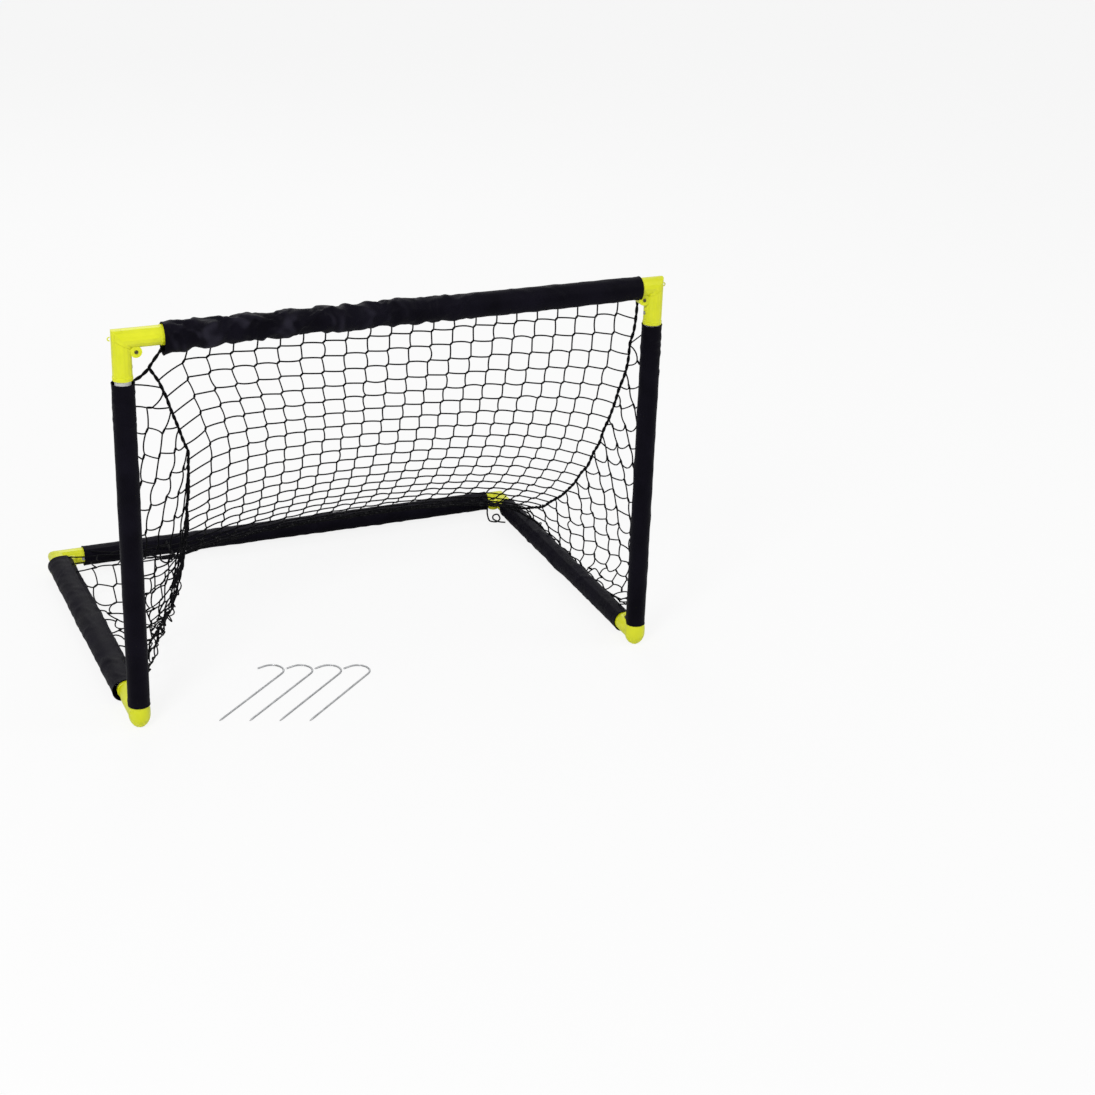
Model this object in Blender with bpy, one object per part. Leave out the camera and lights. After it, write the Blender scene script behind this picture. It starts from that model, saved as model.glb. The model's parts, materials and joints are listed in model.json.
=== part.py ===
# Folding soccer goal: a front frame of crossbar and posts, a ground frame of side bars and rear bar,
# six two-piece corners that hinge at their inner corner, fabric sleeves, a three-panel net and four pegs.
# Metres, +Z up, +X to the goal's right seen from the front, +Y towards its rear.
# Origin: on the ground, in the middle of the rectangle that the goal and its pegs cover.

import math

import bmesh
import bpy
import numpy as np
from mathutils import Matrix, Vector

# Overall size, over the sleeves
GOAL_WIDTH = 0.900
GOAL_HEIGHT = 0.660

# Gap between pieces that touch
FIT = 0.0003

# Tubes
TUBE_R = 0.0125
TUBE_WALL = 0.0010
ROUND_SIDES = 16

# Corner sockets: each corner is two sockets that meet on a mitre
SOCKET_R = 0.0150
SOCKET_RIM_R = 0.0157
SOCKET_RIM_WIDTH = 0.0050
SOCKET_REACH = 0.0630
FOOT_SOCKET_REACH = 0.0885
SOCKET_STOP = 0.0280

# Corner hinge: its pin stands outside the inner corner, as far from both tube axes
PIN_OFFSET = 0.0200
PIN_R = 0.0024
PIN_HEAD_R = 0.0042
PIN_HEAD_THICK = 0.0012
KNUCKLE_R = 0.0090
INNER_FINGER = 0.0032
OUTER_FINGER = 0.0090
FINGER_ANGLE = math.radians(14.0)
PIN_SIDES = 10

# Feet: a round lobe under each post, drawn down past the ground and cut flat where it stands
LOBE_R = 0.0172
LOBE_PAST_GROUND = 0.0012
LOBE_SPLIT_ANGLE = math.radians(45.0)

# Pads under the rear corners
PAD_R = 0.0050
PAD_ALONG = 0.0120
PAD_ACROSS = -0.0080

# Screws that hold each tube in its socket, on the inner side of the corner
SCREW_PLACE = 0.0440
SCREW_R = 0.0015
SCREW_HEAD_R = 0.0032
SCREW_HEAD_PROUD = 0.0001
SCREW_HEAD_THICK = 0.0013
SCREW_LENGTH = 0.0050
SCREW_SIDES = 8

# Fabric sleeves, slipped over the tubes and the socket rims
SLEEVE_WALL = 0.0015
SLEEVE_GAP_AT_SOCKET = 0.0012
LEFT_POST_BARE = 0.0050
RIGHT_SIDE_SLEEVE_START = 0.0550
REAR_SLEEVE_START = 0.0460
KNUCKLE_CLEARANCE = 0.0013

# Net: square mesh, one back panel and two side panels, with a rope along each corner between them
STRAND_HALF = 0.0011
ROPE_R = 0.0022
ROPE_SIDES = 6
ROPE_STEPS = 26
BACK_COLUMNS = 15
BACK_ROWS = 11
SIDE_COLUMNS = 6
SIDE_ROWS = 9
NET_SAG_DEPTH = 0.115
NET_SAG_HEIGHT = 0.130
BACK_NET_TAUTNESS = 0.032
LEFT_BELLY_DROP = 0.150
LEFT_BELLY_INWARDS = 0.057
RIGHT_BELLY_DROP = 0.030
RIGHT_BELLY_INWARDS = 0.0
NET_ABOVE_FLOOR = 0.0040
SEAM_TOP_ANGLE = math.radians(60.0)
SEAM_FOOT_ANGLE = math.radians(37.0)
LEFT_SEAM_TOP_INSET = 0.0715
LEFT_SEAM_MIDDLE_INSET = 0.1225
LEFT_SEAM_FOOT_INSET = 0.1975
RIGHT_SEAM_TOP_INSET = 0.0405
RIGHT_SEAM_MIDDLE_INSET = -0.0075
RIGHT_SEAM_FOOT_INSET = 0.0405
SIDE_NET_TOP_DROP = 0.0700
SIDE_NET_FOOT_RISE = 0.0500
SIDE_NET_START = 0.0950
SIDE_NET_END = 0.0450
SIDE_EDGE_ANGLE = math.radians(53.0)

# Pegs: round wire with a hooked head, laid out on the ground just inside the mouth
PEG_COUNT = 4
PEG_R = 0.0016
PEG_LEG = 0.1850
PEG_HOOK_R = 0.0205
PEG_HOOK_TURN = math.radians(157.0)
PEG_TAIL = 0.0140
PEG_HEADING = math.radians(41.0)
PEG_FIRST_INSET = 0.1205
PEG_STEP_X = 0.0448
PEG_STEP_Y = -0.0162
PEG_LEAD = 0.0620
PEG_SIDES = 8
PEG_HOOK_STEPS = 10

# Places that follow from the sizes above
SLEEVE_BORE_R = SOCKET_RIM_R + FIT
SLEEVE_R = SLEEVE_BORE_R + SLEEVE_WALL
TUBE_SOCKET_R = TUBE_R + FIT
TUBE_START = SOCKET_STOP + FIT
# The bars at the ground are high enough to pass over pegs that lie under them
GROUND_Z = SLEEVE_R + 2 * PEG_R + 2 * FIT
CROSSBAR_Z = GOAL_HEIGHT - SLEEVE_R
POST_X = GOAL_WIDTH / 2 - SLEEVE_R
# The side bars are as long as the posts, so that the folded corners' pins line up
SIDE_RUN = CROSSBAR_Z - GROUND_Z
POST_Y = (PEG_LEAD - SIDE_RUN) / 2
REAR_Y = POST_Y + SIDE_RUN
# A knot is a small box that may stand on its edge, and a rope's end stands nearly square to its sleeve
KNOT_REACH = 1.4 * STRAND_HALF
NET_SEAT = SLEEVE_R + KNOT_REACH + FIT
ROPE_SEAT = SLEEVE_R + ROPE_R / 2 + FIT
KNUCKLE_CLEAR = PIN_OFFSET + KNUCKLE_R + KNUCKLE_CLEARANCE
# an ear has flat sides, so its room is wide enough for its corners to turn past the room's flats
EAR_R = KNUCKLE_R + FIT
EAR_ROOM_R = EAR_R / math.cos(math.pi / ROUND_SIDES) + FIT
PRISM_REACH = 2.5 * FOOT_SOCKET_REACH

SHARP_EDGE = math.radians(30)
X_AXIS = Vector((1, 0, 0))
Y_AXIS = Vector((0, 1, 0))
Z_AXIS = Vector((0, 0, 1))


# Materials

def make_material(name, colour, roughness, metallic):
    material = bpy.data.materials.new(name)
    material.use_nodes = True
    shader = material.node_tree.nodes["Principled BSDF"]
    shader.inputs["Base Color"].default_value = (*colour, 1.0)
    shader.inputs["Roughness"].default_value = roughness
    shader.inputs["Metallic"].default_value = metallic
    return material


def make_materials():
    return {
        "yellow": make_material("yellow_plastic", (0.72, 0.86, 0.02), 0.38, 0.0),
        "tube": make_material("white_tube", (0.85, 0.85, 0.84), 0.35, 0.0),
        "sleeve": make_material("black_fabric", (0.012, 0.012, 0.018), 0.75, 0.0),
        "net": make_material("black_cord", (0.010, 0.010, 0.014), 0.85, 0.0),
        "steel": make_material("zinc_steel", (0.62, 0.63, 0.65), 0.30, 1.0),
    }


# Mesh helpers

def add_object(name, mesh, material=None, smooth_angle=None):
    obj = bpy.data.objects.new(name, mesh)
    bpy.context.scene.collection.objects.link(obj)
    if material is not None:
        mesh.materials.clear()
        mesh.materials.append(material)
    if smooth_angle is not None:
        mesh.shade_smooth()
        mesh.set_sharp_from_angle(angle=smooth_angle)
    return obj


def mesh_from(name, points, faces):
    mesh = bpy.data.meshes.new(name)
    mesh.from_pydata([tuple(p) for p in points], [], faces)
    mesh.validate()
    return mesh


def ring(centre, across, up, radius, sides):
    """Points of a circle about centre, in the plane of across and up."""
    turns = [2 * math.pi * k / sides for k in range(sides)]
    return [centre + across * (radius * math.cos(a)) + up * (radius * math.sin(a)) for a in turns]


def join_rings(rings, closed=False):
    """Faces between rings of equal count, with both ends filled unless the rings close on themselves."""
    sides = len(rings[0])
    points = [p for one in rings for p in one]
    faces = []
    spans = len(rings) if closed else len(rings) - 1
    for r in range(spans):
        a = r * sides
        b = ((r + 1) % len(rings)) * sides
        for k in range(sides):
            n = (k + 1) % sides
            faces.append((a + k, a + n, b + n, b + k))
    if not closed:
        last = (len(rings) - 1) * sides
        faces.append(tuple(reversed(range(sides))))
        faces.append(tuple(last + k for k in range(sides)))
    return points, faces


def facing_out(mesh):
    """Turns every face of a closed mesh outwards."""
    work = bmesh.new()
    work.from_mesh(mesh)
    bmesh.ops.recalc_face_normals(work, faces=work.faces)
    work.to_mesh(mesh)
    work.free()
    return mesh


def turned(name, profile, start, axis, sides, closed=False):
    """A solid turned about axis from start: profile is (distance along, radius) pairs, radius above 0."""
    along = axis.normalized()
    across = along.orthogonal().normalized()
    up = along.cross(across)
    rings = [ring(start + along * s, across, up, r, sides) for s, r in profile]
    return facing_out(mesh_from(name, *join_rings(rings, closed)))


def pipe(name, start, end, outer, bore, sides=ROUND_SIDES):
    """A straight tube with an open bore."""
    length = (end - start).length
    profile = [(0, bore), (0, outer), (length, outer), (length, bore)]
    return turned(name, profile, start, end - start, sides, closed=True)


def rod(name, start, end, radius, sides=ROUND_SIDES):
    return turned(name, [(0, radius), ((end - start).length, radius)], start, end - start, sides)


def swept_wire(name, points, radius, sides):
    """A round wire along a list of points that never run straight up, with flat ends."""
    rings = []
    for i, p in enumerate(points):
        ahead = (points[min(i + 1, len(points) - 1)] - points[max(i - 1, 0)]).normalized()
        side = (Z_AXIS - ahead * ahead.z).normalized()
        rings.append(ring(p, side, ahead.cross(side), radius, sides))
    return facing_out(mesh_from(name, *join_rings(rings)))


def prism(name, outline, low, high):
    """An outline in the u, v plane, drawn out along w from low to high."""
    rings = [[Vector((u, v, w)) for u, v in outline] for w in (low, high)]
    return facing_out(mesh_from(name, *join_rings(rings)))


def hide_cutter(obj):
    obj.hide_render = True
    obj.display_type = "WIRE"
    return obj


def combine(obj, others, operation):
    for other in others:
        step = obj.modifiers.new(other.name, "BOOLEAN")
        step.operation = operation
        step.solver = "EXACT"
        step.object = hide_cutter(other)
    return obj


def settled_mesh(obj, name):
    """The object's mesh with its modifiers worked in; the object and its cutters are then removed."""
    bpy.context.view_layer.update()
    depsgraph = bpy.context.evaluated_depsgraph_get()
    mesh = bpy.data.meshes.new_from_object(obj.evaluated_get(depsgraph))
    mesh.name = name
    work = bmesh.new()
    work.from_mesh(mesh)
    bmesh.ops.remove_doubles(work, verts=work.verts, dist=1e-6)
    bmesh.ops.dissolve_degenerate(work, dist=1e-6, edges=work.edges)
    bmesh.ops.dissolve_limit(
        work, angle_limit=math.radians(0.5), verts=work.verts, edges=work.edges
    )
    bmesh.ops.triangulate(work, faces=work.faces)
    work.to_mesh(mesh)
    work.free()
    return mesh


def remove_scratch(keep):
    for obj in list(bpy.data.objects):
        if obj.name not in keep:
            bpy.data.objects.remove(obj, do_unlink=True)


# Corner template: the corner is at the origin, one socket runs along +u, the other along +v,
# and the pin stands along w at (PIN_OFFSET, PIN_OFFSET)

PIN_PLACE = Vector((PIN_OFFSET, PIN_OFFSET, 0))
MITRE_ANGLE = math.radians(225.0)


def socket_rings(along, across, reach, mitred):
    """Rings of one socket from its corner end to its rim; the corner end lies on the mitre if mitred."""
    turns = [2 * math.pi * k / ROUND_SIDES for k in range(ROUND_SIDES)]
    first = []
    for a in turns:
        flat = SOCKET_R * math.cos(a)
        start = flat if mitred else 0.0
        first.append(along * start + across * flat + Z_AXIS * (SOCKET_R * math.sin(a)))
    stations = [
        (reach - SOCKET_RIM_WIDTH - (SOCKET_RIM_R - SOCKET_R), SOCKET_R),
        (reach - SOCKET_RIM_WIDTH, SOCKET_RIM_R),
        (reach, SOCKET_RIM_R),
    ]
    return first, [ring(along * s, across, Z_AXIS, r, ROUND_SIDES) for s, r in stations]


def sharp_corner():
    """Both sockets as one body, with the sharp outer corner of a mitre."""
    mitre, u_side = socket_rings(X_AXIS, Y_AXIS, SOCKET_REACH, True)
    _, v_side = socket_rings(Y_AXIS, X_AXIS, SOCKET_REACH, True)
    rings = [*reversed(v_side), mitre, *u_side]
    return add_object("sharp_corner", facing_out(mesh_from("sharp_corner", *join_rings(rings))))


def round_corner():
    """Both sockets and the lobe that the foot stands on."""
    bodies = []
    for along, across in ((X_AXIS, Y_AXIS), (Y_AXIS, X_AXIS)):
        first, rest = socket_rings(along, across, FOOT_SOCKET_REACH, False)
        mesh = facing_out(mesh_from("foot_socket", *join_rings([first, *rest])))
        bodies.append(add_object("foot_socket", mesh))
    lobe = bmesh.new()
    bmesh.ops.create_uvsphere(lobe, u_segments=ROUND_SIDES, v_segments=10, radius=LOBE_R)
    draw = (GROUND_Z + LOBE_PAST_GROUND) / LOBE_R
    bmesh.ops.scale(lobe, vec=(draw, 1, 1), verts=lobe.verts)
    mesh = bpy.data.meshes.new("lobe")
    lobe.to_mesh(mesh)
    lobe.free()
    under = 2 * GROUND_Z
    floor = prism(
        "floor",
        [(-under - GROUND_Z, -under), (-GROUND_Z, -under), (-GROUND_Z, under), (-under - GROUND_Z, under)],
        -under,
        under,
    )
    whole = combine(add_object("round_corner", mesh), bodies, "UNION")
    return combine(whole, [add_object("floor", floor)], "DIFFERENCE")


def side_outline(first_angle, towards_u):
    """The half of the u, v plane on one side of a ray from the pin, moved off it by half the fit."""
    sign = 1.0 if towards_u else -1.0
    off = Vector((1, -1, 0)).normalized() * (sign * FIT / 2 / math.cos(FINGER_ANGLE))
    apex = PIN_PLACE + off
    last = MITRE_ANGLE + sign * math.pi
    outline = [(apex.x, apex.y)]
    for k in range(5):
        a = first_angle + (last - first_angle) * k / 4
        outline.append((apex.x + PRISM_REACH * math.cos(a), apex.y + PRISM_REACH * math.sin(a)))
    return outline


def knuckle_outline(radius):
    turns = [2 * math.pi * (k + 0.5) / ROUND_SIDES for k in range(ROUND_SIDES)]
    return [
        (PIN_OFFSET + radius * math.cos(a), PIN_OFFSET + radius * math.sin(a)) for a in turns
    ]


def bands_of(u_side):
    """The stretches of w that belong to one half's fingers, half the fit short of the other's."""
    half = FIT / 2
    far = 2 * SOCKET_R
    if u_side:
        return [
            (-INNER_FINGER + half, INNER_FINGER - half),
            (OUTER_FINGER + half, far),
            (-far, -OUTER_FINGER - half),
        ]
    return [
        (INNER_FINGER + half, OUTER_FINGER - half),
        (-OUTER_FINGER + half, -INNER_FINGER - half),
    ]


def knuckle_bands(u_side):
    return [b for b in bands_of(u_side) if abs(b[0]) < SOCKET_R and abs(b[1]) < SOCKET_R]


def socket_cuts(along, across, reach):
    """The tube's bore, and the screw's hole with its counterbore on the inner side."""
    beyond = reach + SOCKET_RIM_WIDTH
    place = along * SCREW_PLACE
    outside = across * (2 * SOCKET_R)
    seat = SOCKET_R + SCREW_HEAD_PROUD - SCREW_HEAD_THICK - FIT
    cuts = [
        rod("bore", along * SOCKET_STOP, along * beyond, TUBE_SOCKET_R),
        rod("screw_hole", place, place + outside, SCREW_R + FIT, SCREW_SIDES),
        rod("screw_seat", place + across * seat, place + outside, SCREW_HEAD_R + FIT, SCREW_SIDES),
    ]
    return [add_object(mesh.name, mesh) for mesh in cuts]


def pin_hole():
    reach = Z_AXIS * (2 * SOCKET_R)
    hole = rod("pin_hole", PIN_PLACE - reach, PIN_PLACE + reach, PIN_R + FIT, PIN_SIDES)
    return add_object("pin_hole", hole)


def corner_half(u_side, with_pad):
    """One half of a sharp corner: its socket, its fingers across the mitre and its part of the knuckle."""
    far = 2 * SOCKET_R
    sign = 1.0 if u_side else -1.0
    knuckle_end = OUTER_FINGER - FIT / 2
    knuckle = add_object("knuckle", prism("knuckle", knuckle_outline(KNUCKLE_R), -knuckle_end, knuckle_end))
    whole = combine(sharp_corner(), [knuckle], "UNION")
    base = prism("base", side_outline(MITRE_ANGLE + sign * FINGER_ANGLE, u_side), -far, far)
    pieces = []
    for low, high in bands_of(u_side):
        outline = side_outline(MITRE_ANGLE - sign * FINGER_ANGLE, u_side)
        pieces.append(add_object("finger", prism("finger", outline, low, high)))
    for low, high in knuckle_bands(u_side):
        pieces.append(add_object("ear", prism("ear", knuckle_outline(EAR_R), low, high)))
    keep = combine(add_object("keep", base), pieces, "UNION")
    half = combine(whole, [keep], "INTERSECT")
    clear = []
    for low, high in knuckle_bands(not u_side):
        outline = knuckle_outline(EAR_ROOM_R)
        clear.append(add_object("ear_room", prism("ear_room", outline, low - FIT, high + FIT)))
    along, across = (X_AXIS, Y_AXIS) if u_side else (Y_AXIS, X_AXIS)
    cuts = socket_cuts(along, across, SOCKET_REACH)
    half = combine(half, [*clear, *cuts, pin_hole()], "DIFFERENCE")
    if with_pad:
        place = along * PAD_ALONG + across * PAD_ACROSS
        pad = rod("pad", place + Z_AXIS * (SOCKET_R / 3), place + Z_AXIS * GROUND_Z, PAD_R, PIN_SIDES)
        half = combine(half, [add_object("pad", pad)], "UNION")
    return half


def foot_post_half():
    """The post's half of a foot: its socket, the whole lobe, and the barrel that holds the pin."""
    far = 2 * LOBE_R
    barrel_end = OUTER_FINGER - FIT / 2
    barrel = add_object("barrel", prism("barrel", knuckle_outline(KNUCKLE_R), -barrel_end, barrel_end))
    whole = combine(round_corner(), [barrel], "UNION")
    base = prism("base", side_outline(MITRE_ANGLE - LOBE_SPLIT_ANGLE, True), -far, far)
    ear = prism("ear", knuckle_outline(EAR_R), -far, far)
    keep = combine(add_object("keep", base), [add_object("ear", ear)], "UNION")
    half = combine(whole, [keep], "INTERSECT")
    cuts = socket_cuts(X_AXIS, Y_AXIS, FOOT_SOCKET_REACH)
    return combine(half, [*cuts, pin_hole()], "DIFFERENCE")


def foot_side_half():
    """The side bar's half of a foot: its socket, hollowed to a saddle that lies against the barrel."""
    far = 2 * LOBE_R
    base = prism("base", side_outline(MITRE_ANGLE - LOBE_SPLIT_ANGLE, False), -far, far)
    saddle = prism("saddle", knuckle_outline(EAR_ROOM_R), -far, far)
    half = combine(round_corner(), [add_object("keep", base)], "INTERSECT")
    cuts = socket_cuts(Y_AXIS, X_AXIS, FOOT_SOCKET_REACH)
    return combine(half, [add_object("saddle", saddle), *cuts], "DIFFERENCE")


def pin_mesh():
    """A riveted pin: a shank with a flat head outside each cheek of the knuckle."""
    cheek = OUTER_FINGER + FIT / 2
    end = cheek + PIN_HEAD_THICK
    profile = [
        (0, PIN_HEAD_R),
        (PIN_HEAD_THICK, PIN_HEAD_R),
        (PIN_HEAD_THICK, PIN_R),
        (2 * end - PIN_HEAD_THICK, PIN_R),
        (2 * end - PIN_HEAD_THICK, PIN_HEAD_R),
        (2 * end, PIN_HEAD_R),
    ]
    return turned("pin", profile, PIN_PLACE - Z_AXIS * end, Z_AXIS, PIN_SIDES)


# Where each corner stands: its place, and the directions of its u and v sockets

def corner_places():
    top = CROSSBAR_Z
    low = GROUND_Z
    return {
        "top_left": (Vector((-POST_X, POST_Y, top)), X_AXIS, -Z_AXIS),
        "top_right": (Vector((POST_X, POST_Y, top)), -X_AXIS, -Z_AXIS),
        "rear_left": (Vector((-POST_X, REAR_Y, low)), X_AXIS, -Y_AXIS),
        "rear_right": (Vector((POST_X, REAR_Y, low)), -Y_AXIS, -X_AXIS),
        "left_foot": (Vector((-POST_X, POST_Y, low)), Z_AXIS, Y_AXIS),
        "right_foot": (Vector((POST_X, POST_Y, low)), Z_AXIS, Y_AXIS),
    }


# The bar that each corner's u and v sockets hold
CORNER_BARS = {
    "top_left": ("crossbar", "left_post"),
    "top_right": ("crossbar", "right_post"),
    "rear_left": ("rear_bar", "left_side_bar"),
    "rear_right": ("right_side_bar", "rear_bar"),
    "left_foot": ("left_post", "left_side_bar"),
    "right_foot": ("right_post", "right_side_bar"),
}


# The bar whose socket holds each corner's pin
PIN_HOLDERS = {
    "top_left": "crossbar",
    "top_right": "crossbar",
    "rear_left": "rear_bar",
    "rear_right": "rear_bar",
    "left_foot": "left_post",
    "right_foot": "right_post",
}

# The corner whose pin each moving bar turns on
BAR_HINGES = {
    "left_post": "top_left",
    "right_post": "top_right",
    "rear_bar": "left_foot",
    "left_side_bar": "rear_left",
    "right_side_bar": "rear_right",
}


def corner_matrix(place, u, v):
    w = u.cross(v)
    turn = Matrix((u, v, w)).transposed().to_4x4()
    return Matrix.Translation(place) @ turn


def place_copy(name, mesh, corner, material):
    """An object at a corner, with its own origin on the hinge pin there."""
    copy = mesh.copy()
    copy.transform(Matrix.Translation(-PIN_PLACE))
    obj = add_object(name, copy, material, SHARP_EDGE)
    obj.matrix_world = corner @ Matrix.Translation(PIN_PLACE)
    return obj


def make_corners(materials, pieces):
    sharp = {
        (u_side, pad): settled_mesh(corner_half(u_side, pad), f"corner_half_{u_side}_{pad}")
        for u_side in (True, False)
        for pad in (True, False)
    }
    foot = {
        True: settled_mesh(foot_post_half(), "foot_post_half"),
        False: settled_mesh(foot_side_half(), "foot_side_half"),
    }
    remove_scratch(())
    pin = pin_mesh()
    for corner, (place, u, v) in corner_places().items():
        matrix = corner_matrix(place, u, v)
        at_foot = corner.endswith("foot")
        at_rear = corner.startswith("rear")
        for u_side in (True, False):
            bar = CORNER_BARS[corner][0 if u_side else 1]
            mesh = foot[u_side] if at_foot else sharp[(u_side, at_rear)]
            name = f"{corner}_socket_on_{bar}"
            pieces[bar].append(place_copy(name, mesh, matrix, materials["yellow"]))
        holder = PIN_HOLDERS[corner]
        pieces[holder].append(place_copy(f"{corner}_hinge_pin", pin, matrix, materials["steel"]))


# Bars, with the corner at each end

def bar_ends():
    places = {corner: where[0] for corner, where in corner_places().items()}
    return {
        "crossbar": (places["top_left"], places["top_right"]),
        "left_post": (places["top_left"], places["left_foot"]),
        "right_post": (places["top_right"], places["right_foot"]),
        "left_side_bar": (places["left_foot"], places["rear_left"]),
        "right_side_bar": (places["right_foot"], places["rear_right"]),
        "rear_bar": (places["rear_left"], places["rear_right"]),
    }


def inner_side(bar, at_start):
    """The direction to the inner side of the corner at one end of a bar."""
    for corner, (place, u, v) in corner_places().items():
        if bar not in CORNER_BARS[corner]:
            continue
        here = (place - bar_ends()[bar][0 if at_start else 1]).length < FIT
        if here:
            return v if CORNER_BARS[corner][0] == bar else u
    raise ValueError(bar)


def make_tube(bar, start, end, materials):
    """The tube of one bar, bored across near each end for the screws."""
    along = (end - start).normalized()
    first = start + along * TUBE_START
    last = end - along * TUBE_START
    mesh = pipe(f"{bar}_tube", first, last, TUBE_R, TUBE_R - TUBE_WALL)
    obj = add_object(f"{bar}_tube", mesh, materials["tube"], SHARP_EDGE)
    holes = []
    for at_start in (True, False):
        place = start + along * SCREW_PLACE if at_start else end - along * SCREW_PLACE
        out = inner_side(bar, at_start) * (2 * TUBE_R)
        hole = rod(f"{bar}_tube_hole", place, place + out, SCREW_R + FIT, SCREW_SIDES)
        holes.append(add_object(hole.name, hole))
    return combine(obj, holes, "DIFFERENCE")


def make_screws(bar, start, end, materials):
    """The two screws that hold one bar's tube in its sockets."""
    along = (end - start).normalized()
    top = SOCKET_R + SCREW_HEAD_PROUD
    profile = [
        (0, SCREW_HEAD_R),
        (SCREW_HEAD_THICK, SCREW_HEAD_R),
        (SCREW_HEAD_THICK, SCREW_R),
        (SCREW_HEAD_THICK + SCREW_LENGTH, SCREW_R),
    ]
    places = {"first": start + along * SCREW_PLACE, "second": end - along * SCREW_PLACE}
    screws = []
    for which, place in places.items():
        out = inner_side(bar, which == "first")
        name = f"{bar}_{which}_screw"
        mesh = turned(name, profile, place + out * top, -out, SCREW_SIDES)
        screws.append(add_object(name, mesh, materials["steel"], SHARP_EDGE))
    return screws


def sleeve_spans():
    """How far each sleeve's two ends stay from the corners at the ends of its bar."""
    at_mouth = SOCKET_REACH + SLEEVE_GAP_AT_SOCKET
    return {
        "crossbar": (at_mouth, KNUCKLE_CLEAR),
        "left_post": (SOCKET_REACH + LEFT_POST_BARE, KNUCKLE_CLEAR),
        "right_post": (at_mouth, KNUCKLE_CLEAR),
        "left_side_bar": (FOOT_SOCKET_REACH + SLEEVE_GAP_AT_SOCKET, KNUCKLE_CLEAR),
        "right_side_bar": (RIGHT_SIDE_SLEEVE_START, KNUCKLE_CLEAR),
        "rear_bar": (REAR_SLEEVE_START, KNUCKLE_CLEAR),
    }


def make_sleeve(bar, start, end, materials):
    """The fabric sleeve of one bar, as a plain tube that rides on the socket rims."""
    along = (end - start).normalized()
    near, far = sleeve_spans()[bar]
    mesh = pipe(f"{bar}_sleeve", start + along * near, end - along * far, SLEEVE_R, SLEEVE_BORE_R)
    return add_object(f"{bar}_sleeve", mesh, materials["sleeve"], SHARP_EDGE)


# Net

def bend(a, b, c, t):
    """A point at t on the curve that leaves a towards b and arrives at c from b."""
    return a * (1 - t) ** 2 + b * (2 * t * (1 - t)) + c * t ** 2


def seam_point(insets, side, t):
    """The sagging corner of the net: from under the crossbar at t = 0 to the rear bar at t = 1."""
    top_y = POST_Y + ROPE_SEAT * math.cos(SEAM_TOP_ANGLE)
    top_z = CROSSBAR_Z - ROPE_SEAT * math.sin(SEAM_TOP_ANGLE)
    foot_y = REAR_Y - ROPE_SEAT * math.cos(SEAM_FOOT_ANGLE)
    foot_z = GROUND_Z + ROPE_SEAT * math.sin(SEAM_FOOT_ANGLE)
    x = [side * (POST_X - inset) for inset in insets]
    return bend(
        Vector((x[0], top_y, top_z)),
        Vector((x[1], POST_Y + NET_SAG_DEPTH, NET_SAG_HEIGHT)),
        Vector((x[2], foot_y, foot_z)),
        t,
    )


def left_seam(t):
    insets = (LEFT_SEAM_TOP_INSET, LEFT_SEAM_MIDDLE_INSET, LEFT_SEAM_FOOT_INSET)
    return seam_point(insets, -1, t)


def right_seam(t):
    insets = (RIGHT_SEAM_TOP_INSET, RIGHT_SEAM_MIDDLE_INSET, RIGHT_SEAM_FOOT_INSET)
    return seam_point(insets, 1, t)


def net_mesh(name, grid):
    """A net of square strands through a grid of knots, as one closed solid."""
    rows, columns = grid.shape[:2]
    across = np.gradient(grid, axis=1)
    across /= np.linalg.norm(across, axis=2, keepdims=True)
    down = np.gradient(grid, axis=0)
    down -= across * np.sum(down * across, axis=2, keepdims=True)
    down /= np.linalg.norm(down, axis=2, keepdims=True)
    normal = np.cross(across, down)
    points = []
    for sz in (-1, 1):
        for sv, su in ((-1, -1), (-1, 1), (1, 1), (1, -1)):
            points.append(grid + STRAND_HALF * (su * across + sv * down + sz * normal))
    corners = np.stack(points, axis=2).reshape(-1, 3)

    def corner(i, j, k):
        return (j * columns + i) * 8 + k

    # The four sides of a knot, as corner numbers in order round the side, seen from outside
    sides = {(0, -1): (0, 1, 5, 4), (1, 0): (1, 2, 6, 5), (0, 1): (2, 3, 7, 6), (-1, 0): (3, 0, 4, 7)}
    opposite = {(1, 0): (0, 3, 7, 4), (0, 1): (1, 0, 4, 5)}
    faces = []
    for j in range(rows):
        for i in range(columns):
            faces.append(tuple(corner(i, j, k) for k in (3, 2, 1, 0)))
            faces.append(tuple(corner(i, j, k) for k in (4, 5, 6, 7)))
            for (di, dj), face in sides.items():
                ni, nj = i + di, j + dj
                if not (0 <= ni < columns and 0 <= nj < rows):
                    faces.append(tuple(corner(i, j, k) for k in face))
                elif (di, dj) in opposite:
                    here = [corner(i, j, k) for k in face]
                    there = [corner(ni, nj, k) for k in opposite[(di, dj)]]
                    for k in range(4):
                        n = (k + 1) % 4
                        faces.append((here[k], here[n], there[n], there[k]))
    return facing_out(mesh_from(name, corners, faces))


def back_grid():
    """Knots of the back panel: it hangs between the two seams, a rope's width inside them."""
    room = ROPE_R + KNOT_REACH + FIT
    lift = NET_SEAT - ROPE_SEAT
    grid = np.zeros((BACK_ROWS + 1, BACK_COLUMNS + 1, 3))
    for j in range(BACK_ROWS + 1):
        t = j / BACK_ROWS
        left = left_seam(t) + Vector((room, 0, 0))
        right = right_seam(t) - Vector((room, 0, 0))
        for i in range(BACK_COLUMNS + 1):
            s = i / BACK_COLUMNS
            taut = BACK_NET_TAUTNESS * 4 * t * (1 - t) * math.sin(math.pi * s)
            grid[j, i] = left.lerp(right, s) + Vector((0, taut, taut))
    grid[0, :, 2] -= lift
    grid[-1, :, 2] += lift
    return grid


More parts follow.
